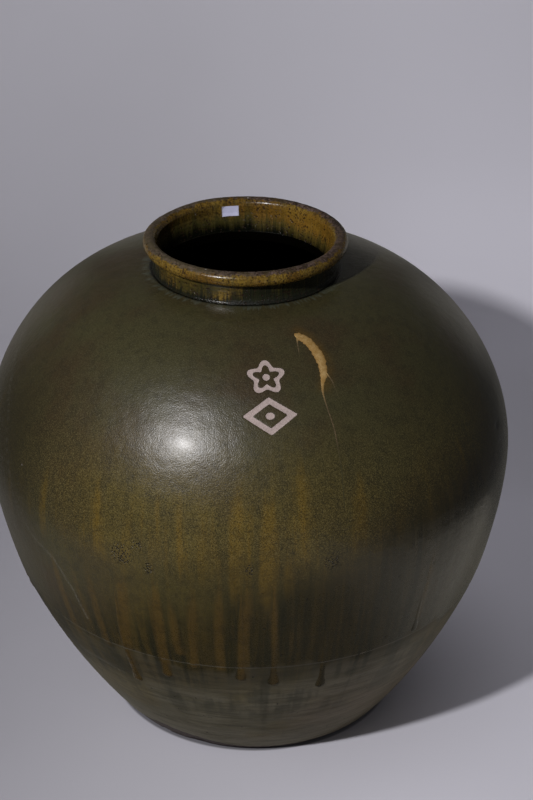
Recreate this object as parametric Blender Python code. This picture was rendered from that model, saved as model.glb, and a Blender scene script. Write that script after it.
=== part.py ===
"""Large hand-thrown stoneware storage jar, modelled as the sections a potter lutes together.

The jar stands on the XY plane with the centre of its foot at the origin, and -Y is its front.
A section of wall is a closed outline of (radius, height) points turned about the jar's axis. The
sections meet in tongue-and-groove luting joints, with a thin slip gap left between their faces.
The whole jar leans a little towards -X, as it settled in the kiln.
"""
import math

import bmesh
import bpy
from mathutils import Vector

# Outer form, from the foot up: radii, the slope of the wall where it passes them, and how far each
# level rises above the one before: seam above foot, belly above seam, joint and neck above belly
foot_radius = 0.1563
foot_slope_deg = 52.4
seam_radius = 0.2552
seam_height = 0.1775
seam_slope_below_deg = 69.0
seam_slope_above_deg = 73.0
belly_radius = 0.2800
belly_rise = 0.1335
upper_joint_rise = 0.0590
shoulder_rise = 0.1947
belly_height = seam_height + belly_rise
upper_joint_height = belly_height + upper_joint_rise
neck_base_height = belly_height + shoulder_rise

# Bezier handles of each stretch of the outer form, as shares of its chord
taper_handle_shares = (0.33, 0.33)
belly_handle_shares = (0.30, 0.30)
shoulder_handle_shares = (0.349, 0.384)

# Sideways settling towards -X, as a share of the height
lean_share = 0.0218

# Walls
wall_at_foot = 0.0160
wall_at_neck = 0.0100
slab_thickness = 0.0180
foot_chamfer = 0.0030

# Luting joints
slip_gap = 0.0003
tongue_height = 0.0050
tongue_root_share = 0.44
tongue_tip_share = 0.26
seam_chamfer = 0.0008

# Neck collar: its bore and wall at the waist, and how far it flares at its base, top and mouth
neck_bore_radius = 0.0870
neck_wall = 0.0085
neck_base_flare = 0.0020
neck_top_flare = 0.0013
mouth_flare = 0.0038
cove_height = 0.0075
pool_height = 0.0016
neck_waist_radius = neck_bore_radius + neck_wall
neck_base_radius = neck_waist_radius + neck_base_flare
neck_top_radius = neck_waist_radius + neck_top_flare
mouth_bore_radius = neck_bore_radius + mouth_flare

# Rolled rim: its centre lies outside the collar's top and above the neck's base
rim_roll_radius = 0.0079
rim_overhang = 0.0021
rim_rise = 0.0286
rim_tongue_height = 0.0024
rim_centre_radius = neck_top_radius + rim_overhang
rim_centre_height = neck_base_height + rim_rise

# Paper label stuck inside the neck, below the rim's centre, by its angle from the jar's back
label_width = 0.0184
label_height = 0.0113
label_thickness = 0.0004
label_drop = 0.0055
label_angle_deg = 10.7
label_centre_height = rim_centre_height - label_drop

# Glaze runs: a narrow stream that ends in a swollen drop
run_width = 0.0092
run_thickness = 0.0013
run_drop_width = 0.0135
run_drop_thickness = 0.0026

# Shares of a run's length: where its drop is fullest, how far the drop spreads, and how far down the
# run is still thickening. Then shares of its section: its size at the top and at the drop's end
drop_place_share = 0.90
drop_spread_share = 0.11
run_fade_share = 0.50
run_tip_share = 0.20
drop_end_share = 0.04
drop_bluntness = 8

# Cross-section of a run or drip: shares of its half width across, and of its thickness up
arch_shares = ((-1.0, 0.35), (-0.55, 0.85), (0.0, 1.0), (0.55, 0.85), (1.0, 0.35))

# Ochre drip on the shoulder: a splash and the thin run below it
splash_width = 0.0140
splash_thickness = 0.0022
splash_run_width = 0.0042
splash_run_thickness = 0.0011

# Where each glaze run starts and ends: angle from the front, towards +X, in degrees, then the
# heights of its top and its drop as shares of belly_height, and its size as a share of the run's
run_place_shares = (
    (-30.0, 0.86, 0.39, 1.00),
    (-20.1, 0.80, 0.47, 0.90),
    (-12.7, 0.84, 0.55, 0.80),
    (-1.9, 0.92, 0.50, 1.00),
    (5.5, 0.97, 0.47, 1.10),
    (17.3, 0.80, 0.43, 0.95),
    (41.0, 0.78, 0.58, 0.80),
    (74.0, 0.84, 0.44, 1.05),
    (108.0, 0.88, 0.41, 1.00),
    (141.0, 0.80, 0.56, 0.80),
    (174.0, 0.90, 0.46, 1.05),
    (212.0, 0.78, 0.51, 0.90),
    (251.0, 0.90, 0.42, 1.00),
    (290.0, 0.82, 0.52, 0.85),
)

# The ochre drip's centre line: angle from the front in degrees, height as a share of the way from
# belly_height to neck_base_height, width and thickness as shares from its run (0) to its splash (1)
drip_place_shares = (
    (20.6, 0.955, 0.10),
    (21.6, 0.945, 0.55),
    (22.8, 0.915, 0.95),
    (23.4, 0.870, 1.00),
    (22.8, 0.820, 0.75),
    (21.8, 0.770, 0.25),
    (21.4, 0.710, 0.10),
    (21.5, 0.630, 0.05),
    (21.3, 0.550, 0.00),
    (20.8, 0.460, 0.00),
    (20.7, 0.350, 0.05),
    (20.5, 0.270, 0.15),
)

# Mesh detail
turn_steps = 52
curve_samples = 40
taper_rows = 6
taper_inner_rows = 4
belly_rows = 7
belly_inner_rows = 4
shoulder_rows = 10
shoulder_inner_rows = 6
slab_steps = 2
cove_steps = 3
roll_steps = 11
run_rows = 8
drip_steps = 3
label_columns = 4
merge_distance = 0.00002

# Angles: the front of the jar, an upright wall, half a turn, and the least angle of a sharp edge
FRONT_DEG = -90.0
UPRIGHT_DEG = 90.0
HALF_TURN_DEG = 180.0
SHARP_DEG = 32.0


def lerp(low, high, share):
    """Straight mix of two values."""
    return low + (high - low) * share


def direction(slope_deg):
    """Unit vector in the (radius, height) plane at a slope above the horizontal."""
    slope = math.radians(slope_deg)
    return Vector((math.cos(slope), math.sin(slope)))


def bezier(start, start_slope, end, end_slope, handle_shares):
    """Points of a cubic Bezier that leaves and meets its ends at the given slopes."""
    chord = (end - start).length
    handle_a = start + direction(start_slope) * chord * handle_shares[0]
    handle_b = end - direction(end_slope) * chord * handle_shares[1]
    points = []
    for index in range(curve_samples + 1):
        t = index / curve_samples
        s = 1 - t
        points.append(start * s**3 + handle_a * 3 * s * s * t + handle_b * 3 * s * t * t + end * t**3)
    return points


def eased(before, start, end, after, t):
    """Catmull-Rom value at share t from start to end, with the values before and after them."""
    slope = (end - before) / 2
    bend = before - 2.5 * start + 2 * end - after / 2
    twist = (3 * (start - end) + after - before) / 2
    return start + t * slope + t * t * bend + t**3 * twist


def smoothed(places, steps):
    """Rows of numbers on a Catmull-Rom curve through the given rows, so many steps apart."""
    last = len(places) - 1
    rows = []
    for index in range(last):
        columns = list(
            zip(
                places[max(index - 1, 0)],
                places[index],
                places[index + 1],
                places[min(index + 2, last)],
            )
        )
        for step in range(steps):
            rows.append(tuple(eased(*column, step / steps) for column in columns))
    rows.append(places[-1])
    return rows


def outer_profile():
    """The jar's outer form, from the foot to the base of the neck."""
    foot = Vector((foot_radius, 0))
    seam = Vector((seam_radius, seam_height))
    belly = Vector((belly_radius, belly_height))
    neck = Vector((neck_base_radius, neck_base_height))
    taper = bezier(foot, foot_slope_deg, seam, seam_slope_below_deg, taper_handle_shares)
    swell = bezier(seam, seam_slope_above_deg, belly, UPRIGHT_DEG, belly_handle_shares)
    shoulder = bezier(belly, UPRIGHT_DEG, neck, HALF_TURN_DEG, shoulder_handle_shares)
    return taper + swell[1:] + shoulder[1:]


def inner_profile(outer):
    """The outer form moved inwards by the wall, which thins from the foot to the neck."""
    points = []
    last = len(outer) - 1
    for index, point in enumerate(outer):
        along = (outer[min(index + 1, last)] - outer[max(index - 1, 0)]).normalized()
        inwards = Vector((-along.y, along.x))
        wall = lerp(wall_at_foot, wall_at_neck, point.y / neck_base_height)
        points.append(point + inwards * wall)
    return points


def radius_at(profile, height):
    """Radius of a profile at a height."""
    for lower, upper in zip(profile, profile[1:]):
        if lower.y <= height <= upper.y:
            return lerp(lower.x, upper.x, (height - lower.y) / (upper.y - lower.y))
    return profile[-1].x


def stretch(profile, low, high, rows):
    """Points at equal steps along the part of a profile that lies between two heights."""
    inside = [point for point in profile if low < point.y < high]
    path = [Vector((radius_at(profile, low), low))] + inside + [Vector((radius_at(profile, high), high))]
    lengths = [0.0]
    for a, b in zip(path, path[1:]):
        lengths.append(lengths[-1] + (b - a).length)
    points = []
    segment = 0
    for row in range(rows + 1):
        wanted = lengths[-1] * row / rows
        while segment < len(path) - 2 and lengths[segment + 1] < wanted:
            segment += 1
        share = (wanted - lengths[segment]) / (lengths[segment + 1] - lengths[segment])
        points.append(path[segment].lerp(path[segment + 1], share))
    return points


def joint_face(outer_radius, inner_radius, face_height, depth, side_gap):
    """A joint's face from outside to inside: a land, the tapered tongue or groove, a land."""
    middle = (outer_radius + inner_radius) / 2
    wall = outer_radius - inner_radius
    root = wall * tongue_root_share / 2 + side_gap
    tip = wall * tongue_tip_share / 2 + side_gap
    return [
        Vector((middle + root, face_height)),
        Vector((middle + tip, face_height - depth)),
        Vector((middle - tip, face_height - depth)),
        Vector((middle - root, face_height)),
    ]


def tongue(outer_radius, inner_radius, joint_height, depth):
    """The upper section's half of a joint."""
    return joint_face(outer_radius, inner_radius, joint_height + slip_gap / 2, depth, 0)


def groove(outer_radius, inner_radius, joint_height, depth):
    """The lower section's half of a joint, a slip gap wider all round."""
    return joint_face(outer_radius, inner_radius, joint_height - slip_gap / 2, depth, slip_gap)


def settle(mesh):
    """Lean the jar: every level ring slides sideways in proportion to its height."""
    for vert in mesh.verts:
        vert.co.x -= lean_share * vert.co.z


def finish_object(name, mesh, material):
    """Turn a bmesh into a smooth-shaded object with its material."""
    settle(mesh)
    data = bpy.data.meshes.new(name)
    mesh.to_mesh(data)
    mesh.free()
    data.shade_smooth()
    data.set_sharp_from_angle(angle=math.radians(SHARP_DEG))
    data.materials.append(material)
    piece = bpy.data.objects.new(name, data)
    bpy.context.collection.objects.link(piece)
    return piece


def turned(name, outline, material, closed=True):
    """Spin an outline of (radius, height) points into a solid. An open one ends on the axis."""
    mesh = bmesh.new()
    verts = [mesh.verts.new((point.x, 0, point.y)) for point in outline]
    edges = [mesh.edges.new(pair) for pair in zip(verts, verts[1:])]
    if closed:
        edges.append(mesh.edges.new((verts[-1], verts[0])))
    bmesh.ops.spin(
        mesh,
        geom=verts + edges,
        axis=(0, 0, 1),
        cent=(0, 0, 0),
        angle=math.tau,
        steps=turn_steps,
        use_merge=True,
    )
    bmesh.ops.remove_doubles(mesh, verts=mesh.verts, dist=merge_distance)
    bmesh.ops.recalc_face_normals(mesh, faces=mesh.faces)
    return finish_object(name, mesh, material)


def ring_point(radius, angle_deg, height):
    """A point round the jar's axis, at an angle from the front towards +X."""
    angle = math.radians(FRONT_DEG + angle_deg)
    return Vector((radius * math.cos(angle), radius * math.sin(angle), height))


def lofted(mesh, rings):
    """Bridge a row of closed rings of points into one solid with capped ends."""
    loops = []
    for ring in rings:
        verts = [mesh.verts.new(point) for point in ring]
        count = len(verts)
        loops.append([mesh.edges.new((verts[i], verts[(i + 1) % count])) for i in range(count)])
    for near, far in zip(loops, loops[1:]):
        bmesh.ops.bridge_loops(mesh, edges=near + far)
    for loop in (loops[0], loops[-1]):
        bmesh.ops.edgeloop_fill(mesh, edges=loop)


def wall_facets(outer):
    """The outer outline of the turned walls, with the straight facets that a run of glaze lies on."""
    sections = (
        (slab_thickness, seam_height, taper_rows),
        (seam_height, upper_joint_height, belly_rows),
        (upper_joint_height, neck_base_height, shoulder_rows),
    )
    facets = []
    for low, high, rows in sections:
        facets += stretch(outer, low + slip_gap / 2, high - slip_gap / 2, rows)
    return facets


def chord_sag(profile, low, high):
    """How far a profile bulges out past the straight line between two of its heights."""
    ends = radius_at(profile, low), radius_at(profile, high)
    bulges = [
        point.x - lerp(*ends, (point.y - low) / (high - low)) for point in profile if low < point.y < high
    ]
    return max(bulges + [0])


def stream(name, profile, places, material):
    """A band of glaze that lies on the wall: places give angle, height, width and thickness."""
    mesh = bmesh.new()
    rings = []
    heights = [place[1] for place in places]
    sags = [chord_sag(profile, *sorted(pair)) for pair in zip(heights, heights[1:])]
    for index, (angle_deg, height, width, thickness) in enumerate(places):
        backing = radius_at(profile, height) + slip_gap + max(sags[max(index - 1, 0) : index + 1])
        seat = math.hypot(backing, width / 2)
        half_angle = math.degrees(math.atan2(width / 2, backing))
        ring = [
            ring_point(seat + thickness * rise, angle_deg + half_angle * across, height)
            for across, rise in arch_shares
        ]
        ring.append(ring_point(seat, angle_deg + half_angle, height))
        ring.append(ring_point(seat, angle_deg - half_angle, height))
        rings.append(ring)
    lofted(mesh, rings)
    bmesh.ops.recalc_face_normals(mesh, faces=mesh.faces)
    return finish_object(name, mesh, material)


def base_slab(outer, inner, material):
    """The clay disc under the jar, grooved round its top for the wall."""
    outer_radius = radius_at(outer, slab_thickness)
    inner_radius = radius_at(inner, slab_thickness)
    outline = [Vector((0, 0)), Vector((foot_radius - foot_chamfer, 0))]
    outline += stretch(outer, foot_chamfer, slab_thickness - slip_gap / 2, slab_steps)
    outline += groove(outer_radius, inner_radius, slab_thickness, tongue_height)
    outline.append(Vector((0, slab_thickness - slip_gap / 2)))
    return turned("base_slab", outline, material, closed=False)


def wall_section(name, outer, inner, span, rows, material, top_chamfer=0):
    """A thrown section of wall with a tongue below and a groove above. Span is its low and high
    joint, and rows are the counts for its outer and inner face."""
    low, high = span
    bottom = low + slip_gap / 2
    top = high - slip_gap / 2
    outline = stretch(outer, bottom, top - top_chamfer, rows[0])
    if top_chamfer:
        outline.append(Vector((radius_at(outer, top) - top_chamfer, top)))
    outline += groove(radius_at(outer, high), radius_at(inner, high), high, tongue_height)
    outline += reversed(stretch(inner, bottom, top, rows[1]))
    outline += reversed(tongue(radius_at(outer, low), radius_at(inner, low), low, tongue_height))
    return turned(name, outline, material)


def shoulder_dome(outer, inner, material):
    """The closing section: it runs in under the neck and ends at the neck's bore."""
    bottom = upper_joint_height + slip_gap / 2
    top = neck_base_height - slip_gap / 2
    under = inner[-1].y
    outline = stretch(outer, bottom, top, shoulder_rows)
    outline += groove(neck_base_radius, neck_bore_radius, neck_base_height, tongue_height)
    outline.append(Vector((neck_bore_radius, top)))
    outline.append(Vector((neck_bore_radius, under)))
    outline += reversed(stretch(inner, bottom, under, shoulder_inner_rows))
    outline += reversed(
        tongue(
            radius_at(outer, upper_joint_height),
            radius_at(inner, upper_joint_height),
            upper_joint_height,
            tongue_height,
        )
    )
    return turned("shoulder_dome", outline, material)


def rim_seat_height():
    """Height at which the underside of the rolled rim meets the collar's outer face."""
    inset = rim_centre_radius - neck_top_radius
    return rim_centre_height - math.sqrt(rim_roll_radius**2 - inset**2)


def neck_collar(material):
    """The collar: a glaze pool and a cove round its foot, and a groove on top for the rim."""
    bottom = neck_base_height + slip_gap / 2
    top = rim_seat_height() - slip_gap / 2
    cove_width = neck_base_radius - neck_waist_radius
    outline = [Vector((neck_base_radius, bottom))]
    for step in range(cove_steps + 1):
        angle = math.pi / 2 * step / cove_steps
        radius = neck_base_radius - cove_width * math.sin(angle)
        height = bottom + pool_height + cove_height * (1 - math.cos(angle))
        outline.append(Vector((radius, height)))
    outline.append(Vector((neck_top_radius, top)))
    outline += groove(neck_top_radius, mouth_bore_radius, rim_seat_height(), rim_tongue_height)
    outline.append(Vector((mouth_bore_radius, top)))
    outline.append(Vector((neck_bore_radius, bottom)))
    outline += reversed(tongue(neck_base_radius, neck_bore_radius, neck_base_height, tongue_height))
    return turned("neck_collar", outline, material)


def rim_roll(material):
    """The rolled rim: a round lip whose inner face carries on the collar's bore."""
    bottom = rim_seat_height() + slip_gap / 2
    drop = bottom - rim_centre_height
    start = math.atan2(drop, -math.sqrt(rim_roll_radius**2 - drop**2))
    outline = []
    for step in range(roll_steps + 1):
        angle = lerp(start, math.pi, step / roll_steps)
        radius = rim_centre_radius + rim_roll_radius * math.cos(angle)
        outline.append(Vector((radius, rim_centre_height + rim_roll_radius * math.sin(angle))))
    outline.append(Vector((mouth_bore_radius, bottom)))
    outline += reversed(tongue(outline[0].x, mouth_bore_radius, rim_seat_height(), rim_tongue_height))
    return turned("rim_roll", outline, material)


def bore_radius(height):
    """Inner radius of the neck, which flares up to the rim's seat and is straight above it."""
    share = (height - neck_base_height) / (rim_seat_height() - neck_base_height)
    return lerp(neck_bore_radius, mouth_bore_radius, min(share, 1))


def label_backing(height):
    """Radius of the label's back, a slip gap inside the flats of the turned bore."""
    return bore_radius(height) * math.cos(math.pi / turn_steps) - slip_gap


def paper_label(material):
    """The blank paper label, bent to the neck's bore."""
    mesh = bmesh.new()
    low = label_centre_height - label_height / 2
    high = label_centre_height + label_height / 2
    half_angle = math.degrees(label_width / 2 / label_backing(label_centre_height))
    corners = (
        (label_backing(low), low),
        (label_backing(high), high),
        (label_backing(high) - label_thickness, high),
        (label_backing(low) - label_thickness, low),
    )
    rings = []
    for column in range(label_columns + 1):
        angle = HALF_TURN_DEG + label_angle_deg + lerp(-half_angle, half_angle, column / label_columns)
        rings.append([ring_point(radius, angle, height) for radius, height in corners])
    lofted(mesh, rings)
    bmesh.ops.recalc_face_normals(mesh, faces=mesh.faces)
    return finish_object("paper_label", mesh, material)


def glaze_run(number, facets, place, material):
    """A thick run of glaze down the taper, narrow at first and then swollen into a drop."""
    angle_deg, top_share, end_share, size_share = place
    places = []
    for row in range(run_rows + 1):
        share = row / run_rows
        swell = math.exp(-(((share - drop_place_share) / drop_spread_share) ** 2))
        fade = lerp(run_tip_share, 1, math.sqrt(min(share / run_fade_share, 1)))
        close = math.sqrt(max(1 - share**drop_bluntness, drop_end_share))
        width = lerp(run_width * fade, run_drop_width, swell) * size_share * close
        thickness = lerp(run_thickness * fade, run_drop_thickness, swell) * size_share * close
        height = lerp(top_share, end_share, share) * belly_height
        places.append((angle_deg, height, width, thickness))
    return stream(f"glaze_run_{number:02d}", facets, places, material)


def shoulder_drip(facets, material):
    """The ochre splash high on the shoulder and the thin run that left it."""
    places = []
    for angle_deg, height_share, size_share in smoothed(drip_place_shares, drip_steps):
        height = lerp(belly_height, neck_base_height, height_share)
        width = lerp(splash_run_width, splash_width, size_share)
        thickness = lerp(splash_run_thickness, splash_thickness, size_share)
        places.append((angle_deg, height, width, thickness))
    return stream("shoulder_drip", facets, places, material)


def material(name, colour, roughness):
    """A Principled material of one colour."""
    made = bpy.data.materials.new(name)
    made.use_nodes = True
    shader = made.node_tree.nodes["Principled BSDF"]
    shader.inputs["Base Color"].default_value = (*colour, 1.0)
    shader.inputs["Roughness"].default_value = roughness
    shader.inputs["Metallic"].default_value = 0.0
    return made


def clear_scene():
    """Remove the objects that the file opened with."""
    for item in list(bpy.data.objects):
        bpy.data.objects.remove(item, do_unlink=True)


def build():
    """Make every sub-part of the jar."""
    clear_scene()
    outer = outer_profile()
    inner = inner_profile(outer)
    facets = wall_facets(outer)
    clay = material("bare_stoneware", (0.13, 0.085, 0.07), 0.85)
    low_glaze = material("thin_olive_glaze", (0.12, 0.085, 0.05), 0.45)
    belly_glaze = material("tea_dust_glaze", (0.115, 0.09, 0.045), 0.38)
    shoulder_glaze = material("shoulder_glaze", (0.10, 0.085, 0.045), 0.38)
    collar_glaze = material("ochre_collar_glaze", (0.16, 0.09, 0.025), 0.30)
    rim_glaze = material("ochre_rim_glaze", (0.30, 0.17, 0.045), 0.42)
    paper = material("label_paper", (0.80, 0.78, 0.82), 0.75)
    rust = material("rust_run_glaze", (0.20, 0.10, 0.04), 0.35)
    ochre = material("ochre_drip_glaze", (0.45, 0.27, 0.09), 0.35)

    base_slab(outer, inner, clay)
    taper = (slab_thickness, seam_height)
    swell = (seam_height, upper_joint_height)
    wall_section("lower_wall", outer, inner, taper, (taper_rows, taper_inner_rows), low_glaze, seam_chamfer)
    wall_section("belly_wall", outer, inner, swell, (belly_rows, belly_inner_rows), belly_glaze)
    shoulder_dome(outer, inner, shoulder_glaze)
    neck_collar(collar_glaze)
    rim_roll(rim_glaze)
    paper_label(paper)
    for number, place in enumerate(run_place_shares, start=1):
        glaze_run(number, facets, place, rust)
    shoulder_drip(facets, ochre)


build()
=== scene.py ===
"""Looks of a large hand-thrown stoneware jar with a dark tea-dust glaze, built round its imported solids.

Lengths are in metres. Places on the jar are given by an angle from its front, towards +X, and a height.
A section of the jar is a closed outline of (radius, height) points carried round the axis, with the same
dents, rings and runs worked into every section, so that neighbours meet on the same curve.
"""
import math

import bpy
import numpy as np
from mathutils import Matrix


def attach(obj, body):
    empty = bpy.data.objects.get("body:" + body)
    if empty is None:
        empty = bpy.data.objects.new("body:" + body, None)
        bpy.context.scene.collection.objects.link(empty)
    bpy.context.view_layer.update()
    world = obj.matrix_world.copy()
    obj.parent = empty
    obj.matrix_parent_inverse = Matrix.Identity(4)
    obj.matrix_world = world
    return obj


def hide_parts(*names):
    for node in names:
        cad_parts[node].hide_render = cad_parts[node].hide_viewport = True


bl_info = {
    "name": "Stoneware Jar",
    "version": (1, 0, 0),
    "blender": (4, 5, 0),
    "location": "View3D > Sidebar > Jar",
    "description": "Builds a glazed storage jar from its sections, glaze runs, splash and label",
    "category": "Add Mesh",
}

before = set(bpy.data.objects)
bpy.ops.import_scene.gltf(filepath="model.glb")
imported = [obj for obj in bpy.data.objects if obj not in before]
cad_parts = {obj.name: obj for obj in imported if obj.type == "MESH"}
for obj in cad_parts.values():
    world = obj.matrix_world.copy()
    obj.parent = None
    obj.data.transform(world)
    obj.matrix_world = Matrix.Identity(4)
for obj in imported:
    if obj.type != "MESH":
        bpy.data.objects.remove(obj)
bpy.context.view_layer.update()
BODY = "root"
MM = 0.001
# How far the floor reaches, and how high the paper sweep lies over it
FLOOR_REACH, SWEEP_LIFT = 14.0, 0.0002
LAMP_AIM = (0.0, 0.0, 0.30)
SENSOR_MM = 36.0


# Sizes and colours that a user would change


def length(name, description, default):
    """A length property."""
    return bpy.props.FloatProperty(
        name=name, description=description, default=default, precision=4, subtype="DISTANCE", unit="LENGTH"
    )


def degrees(name, description, value):
    """An angle property, given in degrees and kept in radians."""
    return bpy.props.FloatProperty(
        name=name, description=description, default=math.radians(value), subtype="ANGLE", unit="ROTATION"
    )


def share(name, description, default):
    """A share of one."""
    return bpy.props.FloatProperty(
        name=name, description=description, default=default, min=0.0, max=1.0, precision=4, subtype="FACTOR"
    )


def colour(name, description, default):
    """A linear colour property."""
    return bpy.props.FloatVectorProperty(
        name=name, description=description, default=default, subtype="COLOR", size=3, min=0.0, max=1.0
    )


class JarForm(bpy.types.PropertyGroup):
    """Sizes of the jar"""

    foot_radius: length("Foot radius", "Radius of the wall's outer form at the floor", 0.1563)
    foot_slope: degrees("Foot slope", "Slope of the wall at the floor", 52.4)
    seam_radius: length("Seam radius", "Radius at the lower luting seam", 0.2552)
    seam_height: length("Seam height", "Height of the lower luting seam", 0.1775)
    seam_slope_below: degrees("Slope below the seam", "Slope of the wall just under the seam", 69.0)
    seam_slope_above: degrees("Slope above the seam", "Slope of the wall just over the seam", 73.0)
    belly_radius: length("Belly radius", "Largest radius of the jar", 0.2800)
    belly_height: length("Belly height", "Height of the widest ring", 0.3110)
    neck_base_radius: length("Neck base radius", "Radius where the collar meets the shoulder", 0.0975)
    neck_base_height: length("Neck base height", "Height where the collar meets the shoulder", 0.5057)
    upper_joint_height: length("Upper joint height", "Height of the hidden upper luting joint", 0.3700)
    lean: share("Lean", "Sideways settling towards -X as a share of the height", 0.0218)
    wall_at_foot: length("Wall at the foot", "Thickness of the wall at the floor", 0.0160)
    wall_at_neck: length("Wall at the neck", "Thickness of the wall at the neck", 0.0100)
    slab_thickness: length("Slab thickness", "Thickness of the clay disc under the jar", 0.0180)
    foot_chamfer: length("Foot chamfer", "Bevel round the foot", 0.0030)
    slip_gap: length("Slip gap", "Gap between the faces of a luting joint", 0.0003)
    tongue_height: length("Tongue height", "Height of a joint's tongue", 0.0050)
    neck_bore_radius: length("Neck bore", "Radius of the collar's bore at its base", 0.0870)
    mouth_radius: length("Mouth", "Radius of the bore at the rim", 0.0908)
    neck_waist_radius: length("Neck waist", "Least outer radius of the collar", 0.0955)
    neck_top_radius: length("Neck top", "Outer radius of the collar under the rim", 0.0968)
    rim_radius: length("Rim radius", "Radius of the centre of the rolled rim", 0.0989)
    rim_height: length("Rim height", "Height of the centre of the rolled rim", 0.5343)
    roll_radius: length("Roll radius", "Radius of the rolled rim's section", 0.0079)
    label_width: length("Label width", "Width of the blank paper label", 0.0184)
    label_height: length("Label height", "Height of the blank paper label", 0.0113)
    label_thickness: length("Label thickness", "Thickness of the blank paper label", 0.0004)
    label_centre: length("Label centre", "Height of the label's centre", 0.5288)
    label_angle: degrees("Label angle", "Angle of the label from the jar's front", 190.7)


class JarGlaze(bpy.types.PropertyGroup):
    """Main colours of the jar's glazes, clay and label"""

    olive: colour("Olive", "Tea-dust glaze where it lies thick", (0.047, 0.042, 0.0165))
    olive_dark: colour("Dark olive", "Ground between the tea-dust crystals", (0.018, 0.0165, 0.0085))
    olive_crystal: colour("Crystals", "Pale crystals in the tea-dust glaze", (0.105, 0.096, 0.046))
    brown: colour("Brown", "Brown clouds in the glaze", (0.042, 0.028, 0.012))
    ochre: colour("Ochre", "Ochre streaks where the glaze ran thin", (0.150, 0.090, 0.008))
    rust: colour("Rust", "Rust-brown heart of a glaze run", (0.098, 0.057, 0.011))
    wash: colour("Wash", "Thin grey-brown wash under the glaze line", (0.152, 0.136, 0.088))
    warm_wash: colour("Warm wash", "Warmer patch of the wash", (0.205, 0.158, 0.108))
    clay: colour("Clay", "Bare purple-brown stoneware", (0.120, 0.095, 0.088))
    cut_clay: colour("Cut clay", "Pale clay where the ornament cuts through the glaze", (0.46, 0.37, 0.345))
    neck_ochre: colour("Neck ochre", "Mustard glaze of the neck and rim", (0.19, 0.118, 0.018))
    neck_pale: colour("Pale mustard", "Lighter flow marks in the mustard glaze", (0.30, 0.22, 0.075))
    neck_black: colour("Neck black", "Dark glaze of the neck", (0.010, 0.011, 0.007))
    crest: colour("Dry crest", "Dry purple-brown crest of the rim", (0.135, 0.095, 0.082))
    fringe: colour("Fringe", "Pale blue-green edge of the neck glaze", (0.090, 0.105, 0.082))
    splash: colour("Splash", "Ochre splash on the shoulder", (0.430, 0.282, 0.112))
    paper: colour("Paper", "Blank label", (0.62, 0.63, 0.84))


class JarStage(bpy.types.PropertyGroup):
    """Camera, lamp, paper and room"""

    camera_place: bpy.props.FloatVectorProperty(
        name="Camera",
        description="Place of the camera",
        default=(0.0, -1.91445, 1.36463),
        subtype="XYZ",
        unit="LENGTH",
    )
    camera_pitch: degrees("Pitch", "How far the camera looks down", 27.99918)
    camera_yaw: degrees("Yaw", "How far the camera looks to the right", 0.36328)
    camera_roll: degrees("Roll", "How far the camera is rolled", 0.58333)
    camera_lens: bpy.props.FloatProperty(
        name="Lens", description="Focal length over a 36 mm long side", default=90.696, unit="CAMERA"
    )
    lamp_angle: degrees("Lamp angle", "Angle of the softbox from the front, towards +X", -31.1)
    lamp_rise: degrees("Lamp elevation", "Elevation of the softbox", 38.5)
    lamp_distance: length("Lamp distance", "Distance of the softbox from the jar's middle", 2.09)
    lamp_size: length("Lamp size", "Diameter of the softbox", 0.105)
    lamp_power: bpy.props.FloatProperty(
        name="Lamp power", description="Power of the softbox", default=30.5, min=0.0, unit="POWER"
    )
    lamp_colour: colour("Lamp colour", "Colour of the softbox", (1.0, 0.985, 1.0))
    room_light: share("Room light", "Level of the light from the dark room", 0.06)
    sweep_start: length("Sweep start", "Distance behind the jar at which the paper starts to rise", 0.37)
    sweep_bend: length("Sweep bend", "Radius of the paper's bend", 0.15)
    sweep_height: length("Sweep height", "Height of the paper behind the jar", 0.95)
    sweep_width: length("Sweep width", "Width of the paper", 8.0)
    floor: colour("Paper", "Colour of the paper on the right, where it is palest", (0.83, 0.82, 0.90))
    backdrop: colour("Backdrop", "Shade of the backdrop far from the jar", (0.36, 0.35, 0.40))


# Curves and surfaces as whole arrays


def soft_step(value, low, high):
    """0 below low, 1 above high, and 3t^2 - 2t^3 between them."""
    t = np.clip((value - low) / (high - low), 0.0, 1.0)
    return t * t * (3.0 - 2.0 * t)


def bump(value, centre, width):
    """A bell: e to the minus square of the distance from the centre over the width."""
    return np.exp(-(((value - centre) / width) ** 2))


def turn_apart(angle, other):
    """Difference of two angles in degrees, wrapped to -180..180."""
    return (angle - other + 180.0) % 360.0 - 180.0


def waves(angle, height, seed, count, turns, length_scale):
    """Smooth unevenness: a sum of cosines of whole turns round the jar and slow waves up it."""
    rng = np.random.default_rng(seed)
    total = np.zeros(np.broadcast(angle, height).shape)
    for _ in range(count):
        around = rng.integers(turns[0], turns[1] + 1)
        up = rng.uniform(0.4, 1.6) / length_scale
        phase = rng.uniform(0.0, math.tau, 2)
        total = total + np.cos(around * np.radians(angle) + phase[0] + up * height * math.tau + phase[1])
    return total / count


def spread(low, high, widest, focus, least, growth):
    """Places from low to high. The step grows from `least` at the focus places, by `growth` for each
    metre of distance, up to `widest`; the places are read off the running sum of 1 / step."""
    fine = np.linspace(low, high, 4001)
    away = np.abs(fine[:, None] - np.asarray(focus)[None, :]).min(axis=1)
    step = np.minimum(widest, least + growth * away)
    count = np.concatenate([[0.0], np.cumsum(np.diff(fine) / step[:-1])])
    return np.interp(np.linspace(0.0, count[-1], int(round(count[-1])) + 1), count, fine)


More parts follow.
